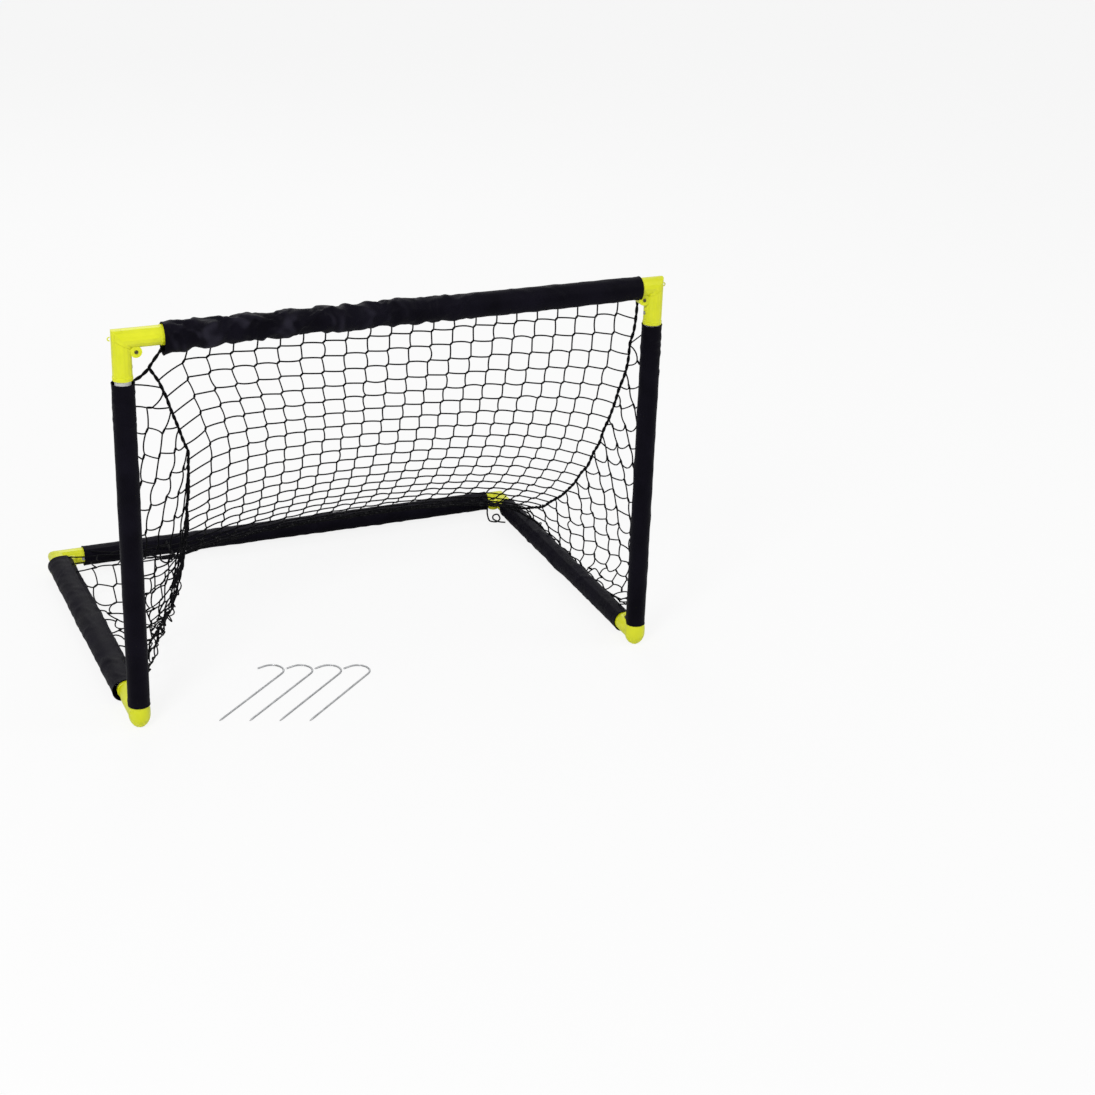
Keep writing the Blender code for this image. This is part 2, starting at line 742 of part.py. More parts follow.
def side_grid(side):
    """Knots of a side panel: a patch between the post, the side bar and the seam, with a hanging belly."""
    if side < 0:
        seam, drop, inwards = left_seam, LEFT_BELLY_DROP, LEFT_BELLY_INWARDS
    else:
        seam, drop, inwards = right_seam, RIGHT_BELLY_DROP, RIGHT_BELLY_INWARDS
    room = ROPE_R + KNOT_REACH + FIT
    post_top = Vector((side * POST_X, POST_Y + NET_SEAT, CROSSBAR_Z - SIDE_NET_TOP_DROP))
    post_foot = Vector((side * POST_X, POST_Y + NET_SEAT, GROUND_Z + SIDE_NET_FOOT_RISE))
    edge_x = side * (POST_X - NET_SEAT * math.cos(SIDE_EDGE_ANGLE))
    edge_z = GROUND_Z + NET_SEAT * math.sin(SIDE_EDGE_ANGLE)
    edge_start = Vector((edge_x, POST_Y + SIDE_NET_START, edge_z))
    edge_end = Vector((edge_x, REAR_Y - SIDE_NET_END, edge_z))

    def seam_edge(t):
        return seam(t) + Vector((side * room, 0, 0))

    def post_edge(t):
        return post_top.lerp(post_foot, t)

    def top_edge(s):
        return post_top.lerp(seam_edge(0), s)

    def foot_edge(s):
        # from the post's foot to the side bar, along it, and over to the end of the seam
        if s < 1 / SIDE_COLUMNS:
            return post_foot.lerp(edge_start, s * SIDE_COLUMNS)
        if s < 1 - 1 / SIDE_COLUMNS:
            return edge_start.lerp(edge_end, (s * SIDE_COLUMNS - 1) / (SIDE_COLUMNS - 2))
        return edge_end.lerp(seam_edge(1), s * SIDE_COLUMNS - SIDE_COLUMNS + 1)

    grid = np.zeros((SIDE_ROWS + 1, SIDE_COLUMNS + 1, 3))
    for j in range(SIDE_ROWS + 1):
        t = j / SIDE_ROWS
        for i in range(SIDE_COLUMNS + 1):
            s = i / SIDE_COLUMNS
            ruled = post_edge(t) * (1 - s) + seam_edge(t) * s
            drawn = top_edge(s) * (1 - t) + foot_edge(s) * t
            corners = (post_top * (1 - s) + seam_edge(0) * s) * (1 - t)
            corners += (post_foot * (1 - s) + seam_edge(1) * s) * t
            belly = 4 * t * (1 - t) * max(math.sin(math.pi * s), 0) ** 0.2
            grid[j, i] = ruled + drawn - corners - Vector((side * inwards * belly, 0, drop * belly))
            grid[j, i, 2] = max(grid[j, i, 2], NET_ABOVE_FLOOR)
    return grid


def make_net(materials, pieces):
    panels = {
        "back_net": ("crossbar", back_grid()),
        "left_side_net": ("left_post", side_grid(-1)),
        "right_side_net": ("right_post", side_grid(1)),
    }
    for name, (bar, grid) in panels.items():
        pieces[bar].append(add_object(name, net_mesh(name, grid), materials["net"]))
    for name, seam in (("left_net_rope", left_seam), ("right_net_rope", right_seam)):
        points = [seam(k / ROPE_STEPS) for k in range(ROPE_STEPS + 1)]
        mesh = swept_wire(name, points, ROPE_R, ROPE_SIDES)
        pieces["crossbar"].append(add_object(name, mesh, materials["net"]))


# Pegs

def peg_points(tip):
    """A straight leg from its tip, a hooked head and a short tail, flat on the ground."""
    ahead = Vector((math.cos(PEG_HEADING), math.sin(PEG_HEADING), 0))
    left = Vector((-ahead.y, ahead.x, 0))
    centre = tip + ahead * PEG_LEG + left * PEG_HOOK_R
    points = [tip]
    for k in range(PEG_HOOK_STEPS + 1):
        a = PEG_HOOK_TURN * k / PEG_HOOK_STEPS
        points.append(centre - left * (PEG_HOOK_R * math.cos(a)) + ahead * (PEG_HOOK_R * math.sin(a)))
    tail = ahead * math.cos(PEG_HOOK_TURN) + left * math.sin(PEG_HOOK_TURN)
    points.append(points[-1] + tail * PEG_TAIL)
    return points


def make_pegs(materials):
    front = POST_Y - SLEEVE_R - PEG_LEAD
    last = PEG_COUNT - 1
    for k in range(PEG_COUNT):
        x = -POST_X + PEG_FIRST_INSET + k * PEG_STEP_X
        y = front + (k - last) * PEG_STEP_Y + PEG_R * math.cos(PEG_HEADING)
        points = peg_points(Vector((x, y, PEG_R)))
        mesh = swept_wire(f"ground_peg_{k + 1}", points, PEG_R, PEG_SIDES)
        add_object(f"ground_peg_{k + 1}", mesh, materials["steel"], math.radians(40))


def hang_on_hinges(pieces):
    """Gives each moving bar an empty on its hinge pin, which carries all that turns with the bar."""
    for bar, corner in BAR_HINGES.items():
        place, u, v = corner_places()[corner]
        pin = place + (u + v) * PIN_OFFSET
        hinge = add_object(f"{bar}_hinge", None)
        hinge.location = pin
        for piece in pieces[bar]:
            piece.parent = hinge
            piece.matrix_parent_inverse = Matrix.Translation(-pin)


def main():
    for obj in list(bpy.data.objects):
        bpy.data.objects.remove(obj, do_unlink=True)
    materials = make_materials()
    bars = bar_ends()
    pieces = {bar: [] for bar in bars}
    make_corners(materials, pieces)
    for bar, (start, end) in bars.items():
        pieces[bar].append(make_tube(bar, start, end, materials))
        pieces[bar].append(make_sleeve(bar, start, end, materials))
        pieces[bar].extend(make_screws(bar, start, end, materials))
    make_net(materials, pieces)
    make_pegs(materials)
    hang_on_hinges(pieces)


main()
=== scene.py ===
import json
import math

import bpy
import numpy as np
from mathutils import Matrix, Vector


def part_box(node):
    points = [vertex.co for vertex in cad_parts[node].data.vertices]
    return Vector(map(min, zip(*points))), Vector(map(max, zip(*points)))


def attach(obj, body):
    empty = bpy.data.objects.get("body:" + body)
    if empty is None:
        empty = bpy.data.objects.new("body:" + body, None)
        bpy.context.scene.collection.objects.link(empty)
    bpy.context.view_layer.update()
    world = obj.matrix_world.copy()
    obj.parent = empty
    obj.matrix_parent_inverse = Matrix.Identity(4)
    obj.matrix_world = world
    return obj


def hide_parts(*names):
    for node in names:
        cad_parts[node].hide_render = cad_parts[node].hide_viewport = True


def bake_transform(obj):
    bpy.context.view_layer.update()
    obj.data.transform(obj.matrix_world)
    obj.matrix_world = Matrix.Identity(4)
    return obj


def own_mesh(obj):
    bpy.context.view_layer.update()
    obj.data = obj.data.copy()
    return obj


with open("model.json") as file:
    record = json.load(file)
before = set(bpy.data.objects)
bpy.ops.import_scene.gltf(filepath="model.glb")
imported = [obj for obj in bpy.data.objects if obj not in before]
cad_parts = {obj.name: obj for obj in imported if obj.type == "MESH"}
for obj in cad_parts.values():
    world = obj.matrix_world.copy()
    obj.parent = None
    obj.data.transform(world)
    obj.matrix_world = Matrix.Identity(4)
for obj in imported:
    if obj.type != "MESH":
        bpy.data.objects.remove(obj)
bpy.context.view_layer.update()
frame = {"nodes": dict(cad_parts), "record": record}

# A folding soccer goal: fabric sleeved bars with hinged yellow corners, a sagging net and four pegs

# Where the bars run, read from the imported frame
def middle(node):
    low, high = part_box(node)
    return (low + high) / 2


postX = middle("right_post_tube").x
postY = middle("left_post_tube").y
barZ = middle("crossbar_tube").z
rearY = middle("rear_bar_tube").y
groundZ = middle("rear_bar_tube").z
sleeveR = (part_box("crossbar_sleeve")[1].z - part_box("crossbar_sleeve")[0].z) / 2

xAxis, yAxis, zAxis = Vector((1, 0, 0)), Vector((0, 1, 0)), Vector((0, 0, 1))


# Mesh building

def meshPiece(name, points, faces, material, slot, body=None, smooth=40, uv=None):
    mesh = bpy.data.meshes.new(name)
    mesh.from_pydata(np.asarray(points, float).reshape(-1, 3).tolist(), [], faces)
    mesh.validate()
    if uv is not None:
        layer = mesh.uv_layers.new(name="UVMap")
        corner = np.zeros(len(mesh.loops), np.int32)
        mesh.loops.foreach_get("vertex_index", corner)
        layer.data.foreach_set("uv", np.asarray(uv, np.float32)[corner].ravel())
    return finishPiece(name, mesh, material, body, smooth)


def finishPiece(name, mesh, material, body=None, smooth=40):
    mesh.name = name
    mesh.materials.clear()
    mesh.materials.append(material)
    mesh.shade_smooth()
    mesh.set_sharp_from_angle(angle=math.radians(smooth))
    piece = bpy.data.objects.new(name, mesh)
    bpy.context.scene.collection.objects.link(piece)
    if body:
        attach(piece, body)
    return piece


def camel(node):
    first, *rest = node.split("_")
    return first + "".join(word.capitalize() for word in rest)


def unit(v):
    return v / np.maximum(np.linalg.norm(v, axis=-1, keepdims=True), 1e-12)


# Quads between neighbouring rings of a tube: ring s, place a round it
def ringFaces(rings, sides):
    s = np.arange(rings - 1)[:, None] * sides
    a = np.arange(sides)[None, :]
    b = (a + 1) % sides
    return np.stack([s + a, s + b, s + sides + b, s + sides + a], axis=-1).reshape(-1, 4).tolist()


# Length run along a path at each of its points, and the points at given runs
def runAlong(path):
    return np.concatenate([[0], np.cumsum(np.linalg.norm(np.diff(path, axis=0), axis=1))])


def pointsAt(path, run, s):
    return np.stack([np.interp(s, run, path[:, k]) for k in range(3)], axis=1)


# Tubes: for each path a circle of the given radius is carried along it. Point (k, s, a) is
# path(k, s) + radius(k, s) (cos a * side + sin a * across), with side square to the path's chord.
def tubeField(paths, radii, sides):
    paths = np.asarray(paths, float)
    count, steps = paths.shape[:2]
    radii = np.broadcast_to(radii, (count, steps))
    tangent = unit(np.gradient(paths, axis=1))
    chord = unit(paths[:, -1] - paths[:, 0])
    helper = np.where(np.abs(chord[:, 2:3]) < 0.8, [[0.0, 0.0, 1.0]], [[1.0, 0.0, 0.0]])
    ref = unit(np.cross(chord, helper))[:, None, :]
    side = unit(ref - tangent * np.sum(ref * tangent, axis=2, keepdims=True))
    across = np.cross(tangent, side)
    turn = np.linspace(0, 2 * np.pi, sides, endpoint=False)
    ring = side[:, :, None] * np.cos(turn)[:, None] + across[:, :, None] * np.sin(turn)[:, None]
    points = paths[:, :, None] + radii[:, :, None, None] * ring
    base = np.arange(count)[:, None] * steps * sides
    faces = (base[:, :, None] + ringFaces(steps, sides)).reshape(-1, 4).tolist()
    first = base + np.arange(sides)[::-1]
    last = base + (steps - 1) * sides + np.arange(sides)
    faces += first.tolist() + last.tolist()
    return points.reshape(-1, 3), faces


def joinFields(fields):
    points, faces, start = [], [], 0
    for p, f in fields:
        points.append(p)
        faces += [[i + start for i in face] for face in f]
        start += len(p)
    return np.concatenate(points), faces


# Material helpers

def addNode(tree, kind, **values):
    node = tree.nodes.new(kind)
    for key, value in values.items():
        setattr(node, key, value)
    return node


def setInputs(node, values):
    for socket, value in values.items():
        node.inputs[socket].default_value = value


def newGroup(name, inputs, outputs):
    group = bpy.data.node_groups.new(name, "ShaderNodeTree")
    for label, kind, value in inputs:
        socket = group.interface.new_socket(name=label, in_out="INPUT", socket_type=kind)
        if value is not None:
            socket.default_value = value
    for label, kind in outputs:
        group.interface.new_socket(name=label, in_out="OUTPUT", socket_type=kind)
    return group, group.nodes.new("NodeGroupInput"), group.nodes.new("NodeGroupOutput")


# Soft mottling: noise at a given size, spread about the middle of a colour pair
def makeMottleGroup():
    group, start, end = newGroup(
        "mottle",
        [("Size", "NodeSocketFloat", 60.0),
         ("Dark", "NodeSocketColor", None), ("Light", "NodeSocketColor", None),
         ("Low", "NodeSocketFloat", 0.35), ("High", "NodeSocketFloat", 0.65)],
        [("Color", "NodeSocketColor"), ("Mask", "NodeSocketFloat")])
    place = group.nodes.new("ShaderNodeTexCoord")
    noise = addNode(group, "ShaderNodeTexNoise")
    noise.inputs["Detail"].default_value = 4.0
    spread = addNode(group, "ShaderNodeMapRange")
    mix = addNode(group, "ShaderNodeMix", data_type="RGBA")
    link = group.links.new
    link(place.outputs["Object"], noise.inputs["Vector"])
    link(start.outputs["Size"], noise.inputs["Scale"])
    link(noise.outputs["Fac"], spread.inputs["Value"])
    link(start.outputs["Low"], spread.inputs["From Min"])
    link(start.outputs["High"], spread.inputs["From Max"])
    link(spread.outputs["Result"], mix.inputs["Factor"])
    link(start.outputs["Dark"], mix.inputs["A"])
    link(start.outputs["Light"], mix.inputs["B"])
    link(mix.outputs["Result"], end.inputs["Color"])
    link(spread.outputs["Result"], end.inputs["Mask"])
    return group


# Plain weave: two sets of ridges at right angles on the piece's own UV map, which is in metres
def makeWeaveGroup():
    group, start, end = newGroup(
        "plainWeave",
        [("Threads", "NodeSocketFloat", 1500.0)],
        [("Height", "NodeSocketFloat")])
    place = group.nodes.new("ShaderNodeUVMap")
    link = group.links.new
    heights = []
    for axis in ("X", "Y"):
        wave = addNode(
            group, "ShaderNodeTexWave", wave_type="BANDS", bands_direction=axis, wave_profile="SIN")
        link(place.outputs["UV"], wave.inputs["Vector"])
        link(start.outputs["Threads"], wave.inputs["Scale"])
        heights.append(wave.outputs["Fac"])
    both = addNode(group, "ShaderNodeMath", operation="MAXIMUM")
    link(heights[0], both.inputs[0])
    link(heights[1], both.inputs[1])
    link(both.outputs["Value"], end.inputs["Height"])
    return group


mottle = makeMottleGroup()
weave = makeWeaveGroup()


def newMaterial(name, colour, roughness, metallic=0.0):
    material = bpy.data.materials.new(name)
    material.use_nodes = True
    shader = material.node_tree.nodes["Principled BSDF"]
    setInputs(shader, {"Base Color": (*colour, 1), "Roughness": roughness, "Metallic": metallic})
    return material, material.node_tree, shader


def mottled(tree, shader, size, dark, light, low=0.35, high=0.65):
    node = addNode(tree, "ShaderNodeGroup", node_tree=mottle)
    setInputs(node, {
        "Size": size, "Dark": (*dark, 1), "Light": (*light, 1), "Low": low, "High": high})
    tree.links.new(node.outputs["Color"], shader.inputs["Base Color"])
    return node


def roughnessFrom(tree, shader, mask, low, high):
    spread = addNode(tree, "ShaderNodeMapRange")
    setInputs(spread, {"To Min": low, "To Max": high})
    tree.links.new(mask, spread.inputs["Value"])
    tree.links.new(spread.outputs["Result"], shader.inputs["Roughness"])


def bumpFrom(tree, shader, height, strength, distance):
    bump = addNode(tree, "ShaderNodeBump")
    setInputs(bump, {"Strength": strength, "Distance": distance})
    tree.links.new(height, bump.inputs["Height"])
    tree.links.new(bump.outputs["Normal"], shader.inputs["Normal"])


def noiseHeight(tree, size, detail=3.0):
    place = addNode(tree, "ShaderNodeTexCoord")
    noise = addNode(tree, "ShaderNodeTexNoise")
    setInputs(noise, {"Scale": size, "Detail": detail})
    tree.links.new(place.outputs["Object"], noise.inputs["Vector"])
    return noise.outputs["Fac"]


yellowLook = {
    "dark": (0.700, 0.740, 0.004),
    "light": (0.775, 0.800, 0.010),
    "patchSize": 30.0,
    "roughness": (0.30, 0.42),
    "grainSize": 900.0,
    "grainDepth": 0.00012,
    "grainStrength": 0.25,
    "refraction": 1.49,
    "glow": 0.06,
    "glowReach": (0.004, 0.004, 0.0005),
}


def makeYellowPlastic(look):
    material, tree, shader = newMaterial("yellowPlastic", look["light"], 0.36)
    patch = mottled(tree, shader, look["patchSize"], look["dark"], look["light"])
    roughnessFrom(tree, shader, patch.outputs["Mask"], *look["roughness"])
    grain = noiseHeight(tree, look["grainSize"])
    bumpFrom(tree, shader, grain, look["grainStrength"], look["grainDepth"])
    setInputs(shader, {
        "IOR": look["refraction"], "Subsurface Weight": look["glow"],
        "Subsurface Radius": look["glowReach"], "Subsurface Scale": 1.0})
    return material


fabricLook = {
    "dark": (0.0021, 0.0017, 0.0040),
    "light": (0.0056, 0.0048, 0.0096),
    # The crest colour below is a painted highlight, laid on the tops of the sleeves' ripples where lamp
    # light would catch the folds
    "crest": (0.0190, 0.0175, 0.0270),
    "patchSize": 22.0,
    "patchSpread": (0.3, 0.75),
    "roughness": (0.42, 0.60),
    "threads": 420.0,
    "weaveDepth": 0.00014,
    "weaveStrength": 0.35,
    "sheen": 0.003,
    "sheenRoughness": 0.45,
    "sheenTint": (0.75, 0.74, 0.95),
    "gloss": 0.04,
}


def makeFabric(look):
    material, tree, shader = newMaterial("blackPolyester", look["dark"], 0.6)
    patch = mottled(tree, shader, look["patchSize"], look["dark"], look["light"], *look["patchSpread"])
    roughnessFrom(tree, shader, patch.outputs["Mask"], *look["roughness"])
    # Painted highlight: a lighter colour is mixed in on the ripple crests, by a mask that each sleeve
    # stores on its points
    crest = addNode(tree, "ShaderNodeAttribute", attribute_name="crest")
    withPaintedHighlight = addNode(tree, "ShaderNodeMix", data_type="RGBA")
    withPaintedHighlight.inputs["B"].default_value = (*look["crest"], 1)
    link = tree.links.new
    link(crest.outputs["Fac"], withPaintedHighlight.inputs["Factor"])
    link(patch.outputs["Color"], withPaintedHighlight.inputs["A"])
    link(withPaintedHighlight.outputs["Result"], shader.inputs["Base Color"])
    cloth = addNode(tree, "ShaderNodeGroup", node_tree=weave)
    cloth.inputs["Threads"].default_value = look["threads"]
    bumpFrom(tree, shader, cloth.outputs["Height"], look["weaveStrength"], look["weaveDepth"])
    setInputs(shader, {
        "Specular IOR Level": look["gloss"], "Sheen Weight": look["sheen"],
        "Sheen Roughness": look["sheenRoughness"], "Sheen Tint": (*look["sheenTint"], 1)})
    return material


cordLook = {
    "dark": (0.0018, 0.0018, 0.0026), "light": (0.0052, 0.0050, 0.0064), "patchSize": 260.0,
    "roughness": 0.75, "lay": 700.0, "strength": 0.6, "depth": 0.0002, "gloss": 0.03, "sheen": 0.01}


def makeCord(look):
    material, tree, shader = newMaterial("netCord", look["dark"], look["roughness"])
    mottled(tree, shader, look["patchSize"], look["dark"], look["light"])
    bumpFrom(tree, shader, noiseHeight(tree, look["lay"], 2.0), look["strength"], look["depth"])
    setInputs(shader, {"Specular IOR Level": look["gloss"], "Sheen Weight": look["sheen"]})
    return material


# Plain finishes: "plain" is colour, roughness and how metallic; "grain" is size and detail of the
# noise that raises the surface, and "bump" its strength and depth
plainLooks = {
    "whiteTube": {
        "plain": ((0.90, 0.90, 0.89), 0.3, 0.0), "dark": (0.88, 0.88, 0.87),
        "light": (0.94, 0.94, 0.93), "patchSize": 40.0, "roughness": (0.25, 0.4),
        "grain": (500.0, 3.0), "bump": (0.2, 0.0001)},
    "zincSteel": {
        "plain": ((0.44, 0.445, 0.455), 0.32, 1.0), "dark": (0.34, 0.345, 0.355),
        "light": (0.44, 0.445, 0.455), "patchSize": 90.0, "roughness": (0.30, 0.40),
        "grain": (160.0, 2.0), "bump": (0.10, 0.00005)},
    # Rivet heads: dull metal darkened to an olive near-black as painted shade, so each reads as the
    # shaded hole of a hinge pin in its yellow boss
    "dullRivet": {
        "plain": ((0.130, 0.125, 0.070), 0.5, 0.7), "dark": (0.075, 0.070, 0.030),
        "light": (0.130, 0.125, 0.070), "patchSize": 240.0, "roughness": (0.40, 0.60),
        "grain": (900.0, 2.0), "bump": (0.2, 0.00005)},
}


def makePlain(name, look):
    material, tree, shader = newMaterial(name, *look["plain"])
    patch = mottled(tree, shader, look["patchSize"], look["dark"], look["light"])
    roughnessFrom(tree, shader, patch.outputs["Mask"], *look["roughness"])
    bumpFrom(tree, shader, noiseHeight(tree, *look["grain"]), *look["bump"])
    return material


yellow = makeYellowPlastic(yellowLook)
fabric = makeFabric(fabricLook)
cord = makeCord(cordLook)
whiteTube, steel, rivetPaintedShadeSteel = (makePlain(name, look) for name, look in plainLooks.items())
print("materials made")


# Carried-over nodes take their finish here
def finishNodes():
    looks = {"yellow_plastic": yellow, "black_fabric": fabric, "net_cord": cord,
             "white_tube": whiteTube, "zinc_steel": steel}
    slots = {row["node"]: row["material_slot"] for row in frame["record"]["subparts"]}
    for name, node in frame["nodes"].items():
        node.data.materials.clear()
        node.data.materials.append(looks[slots[name]])


finishNodes()


# Corner sockets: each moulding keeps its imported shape, edges and all, under its own name
moulding = {"sharp": 32.0}
bodyOf = {
    node: body for body, nodes in frame["record"]["behaviour"]["bodies"].items() for node in nodes}


def makeMoulding(node, spec):
    packed = frame["nodes"][node]
    mesh = packed.data.copy()
    mesh.transform(packed.matrix_world)
    piece = finishPiece(camel(node), mesh, yellow, bodyOf[node], spec["sharp"])
    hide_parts(node)


# Rivets: a profile of (along, radius) is turned about the pin's axis. It has a domed head with a
# dimple at each end.
rivet = {
    "headR": 0.0030, "dome": 0.0011, "dimpleR": 0.0012, "dimple": 0.0007, "shankR": 0.0022, "sides": 40}


def makeRivet(node, spec):
    low, high = (np.array(c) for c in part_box(node))
    size = high - low
    axis = int(np.argmax(size))
    half = size[axis] / 2
    rim = half - spec["dome"]
    bend = np.linspace(0, np.pi / 2, 7)[:-1]
    rise = spec["headR"] - spec["dimpleR"]
    head = [(rim + spec["dome"] * math.sin(a), spec["dimpleR"] + rise * math.cos(a)) for a in bend]
    bottom = half - spec["dimple"]
    end = [(half, spec["dimpleR"]), (bottom, spec["dimpleR"] * 0.6), (bottom, 0.0001)]
    profile = [(rim - 0.0002, spec["shankR"]), (rim, spec["headR"])] + head[1:] + end
    profile = [(-x, r) for x, r in reversed(profile)] + profile
    # Its finish is dull metal darkened as painted shade of the pin hole
    piece = turnedPiece(
        camel(node), (low + high) / 2, np.eye(3)[axis], profile, rivetPaintedShadeSteel, "zinc_steel",
        bodyOf[node], spec["sides"])
    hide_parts(node)


# A turned shape: a profile of (along, radius) is carried round the axis through a place
def turnedPiece(name, place, axis, profile, material, slot, body, sides=48, smooth=35):
    axis = np.array(axis, float)
    side = unit(np.cross(axis, [0.31, 0.87, 0.41]))
    across = np.cross(axis, side)
    along, radius = np.array(profile, float).T
    turn = np.linspace(0, 2 * np.pi, sides, endpoint=False)
    ring = np.cos(turn)[:, None] * side + np.sin(turn)[:, None] * across
    points = np.array(place) + along[:, None, None] * axis + radius[:, None, None] * ring
    faces = ringFaces(len(profile), sides)
    last = (len(profile) - 1) * sides
    faces += [list(range(sides))[::-1], list(range(last, last + sides))]
    return meshPiece(name, points, faces, material, slot, body, smooth)


# Boots: the feet's mouldings are full round the corner, where the post and the side bar run together.
# Below its arm each ends in a quarter ellipse, (-depth sin a, radius cos a).
boot = {
    "postR": 0.0173, "neckR": 0.0158, "neckFrom": 0.008, "postUp": 0.020, "sideR": 0.0160,
    "sideOut": 0.060, "edge": 0.0012, "closed": 0.0002}


def roundEnd(radius, draw, closed):
    bend = np.linspace(math.pi / 2, 0, 12, endpoint=False)
    return [(-radius * draw * math.sin(a), max(radius * math.cos(a), closed)) for a in bend]


def makeBoots(side, name, spec):
    place = np.array([side * postX, postY, groundZ])
    postR, sideR, closed = spec["postR"], spec["sideR"], spec["closed"]
    post = roundEnd(postR, groundZ / postR, closed) + [
        (0, postR), (spec["neckFrom"], postR), (spec["postUp"], spec["neckR"])]
    arm = roundEnd(sideR, 1, closed) + [
        (0, sideR), (spec["sideOut"] - spec["edge"], sideR), (spec["sideOut"], sideR - spec["edge"])]
    for end, axis, profile, body in (("Post", (0, 0, 1), post, f"{name}_post"),
                                     ("SideBar", (0, 1, 0), arm, f"{name}_side_bar")):
        turnedPiece(f"{name}FootBootOn{end}", place, axis, profile, yellow, "yellow_plastic", body)


# Lugs: a small moulded bow on the outer side of each top corner. Its wire follows an open arc, which
# turns from -arc to arc radians about a place just inside the corner's face.
lug = {"down": 0.0165, "sunk": 0.0005, "loopR": 0.0026, "wireR": 0.0009, "arc": 1.9}


def makeLug(side, name, spec):
    turn = np.linspace(-spec["arc"], spec["arc"], 21)
    centre = np.array([side * (postX + sleeveR - spec["sunk"]), postY, barZ + sleeveR - spec["down"]])
    path = centre + spec["loopR"] * (np.cos(turn)[:, None] * np.array([side, 0, 0])
                                     + np.sin(turn)[:, None] * np.array([0, 0, 1.0]))
    points, faces = tubeField(path[None], spec["wireR"], 10)
    meshPiece(f"{name}TopLug", points, faces, yellow, "yellow_plastic", f"{name}_post", smooth=60)


for sideSign, sideName in ((-1, "left"), (1, "right")):
    makeBoots(sideSign, sideName, boot)
    makeLug(sideSign, sideName, lug)

for cornerNode in sorted(frame["nodes"]):
    if "_socket_on_" in cornerNode:
        makeMoulding(cornerNode, moulding)
    if cornerNode.endswith("_hinge_pin"):
        makeRivet(cornerNode, rivet)
print("corners made")


# The net's sizes: cords, knots, cells, and how it is settled. "takes" is the share of a knot's length
# by which it shortens the cords of a row, a column or a side panel; "sidePush" is for left and right.
net = {
    "cordR": 0.00122, "cordSides": 6, "knotR": 0.00185, "knot": 0.0056, "cell": 0.0352,
    "knotAt": (-0.12, 0.04, 0.30, 0.70, 0.96, 1.12), "knotSize": (0.35, 0.85, 1.0, 1.0, 0.85, 0.35),
    "backColumns": 22, "backRows": 24, "steps": 260, "rounds": 36, "gravity": 0.00005, "seed": 5,
    "backTight": 0.034, "backSlack": 1.006, "backEnds": 0.98, "backLay": 0.9, "tiedLower": (1.1, 0.25),
    "takes": {"row": 0.62, "column": 0.86, "side": 0.3}, "lengthSpread": 11,
    "backSpread": 0.0022, "sideSpread": 0.0070, "sidePush": (0.0, 0.35), "sideKnot": 0.0088,
    "backBow": 0.0009, "sideBow": 0.0018}


# Sleeves. A sleeve is a grid of (along, around): point = centre(along) + radius * direction(around),
# where radius = bore + slack on the hanging side + creases, which fade towards taut stretches.
# A rolled edge ends the cloth.

# Creases: each is a short ridge on the unrolled cloth. With d across it and e along it, in widths and
# lengths, its height is (1 - d^2) exp(-d^2 / 1.3) exp(-e^4), so a valley runs along both its flanks.
def creaseField(along, around, length, girth, spec, seed):
    rng = np.random.default_rng(seed)
    total = np.zeros(np.broadcast(along, around).shape)
    for _ in range(spec["count"]):
        first, last, crowd = spec["span"]
        place = (first + (last - first) * rng.uniform(0, 1) ** crowd) * length
        turn = rng.uniform(0, 2 * np.pi)
        tilt = rng.uniform(*spec["tilt"]) * rng.choice([-1, 1])
        width, reach = rng.uniform(*spec["width"]), rng.uniform(*spec["reach"])
        x = along * length - place
        y = ((around - turn + np.pi) % (2 * np.pi) - np.pi) / (2 * np.pi) * girth
        bow = rng.normal(0, 6.0)
        e = (y * math.cos(tilt) - x * math.sin(tilt)) / reach
        d = (x * math.cos(tilt) + y * math.sin(tilt) + bow * e ** 2 * reach * 0.03) / width
        total += rng.uniform(0.4, 1.0) * (1 - d ** 2) * np.exp(-d ** 2 / 1.3) * np.exp(-e ** 4)
    return total


def creaseSet(count, span, tilt, width, reach, height):
    return dict(count=count, span=span, tilt=tilt, width=width, reach=reach, height=height)


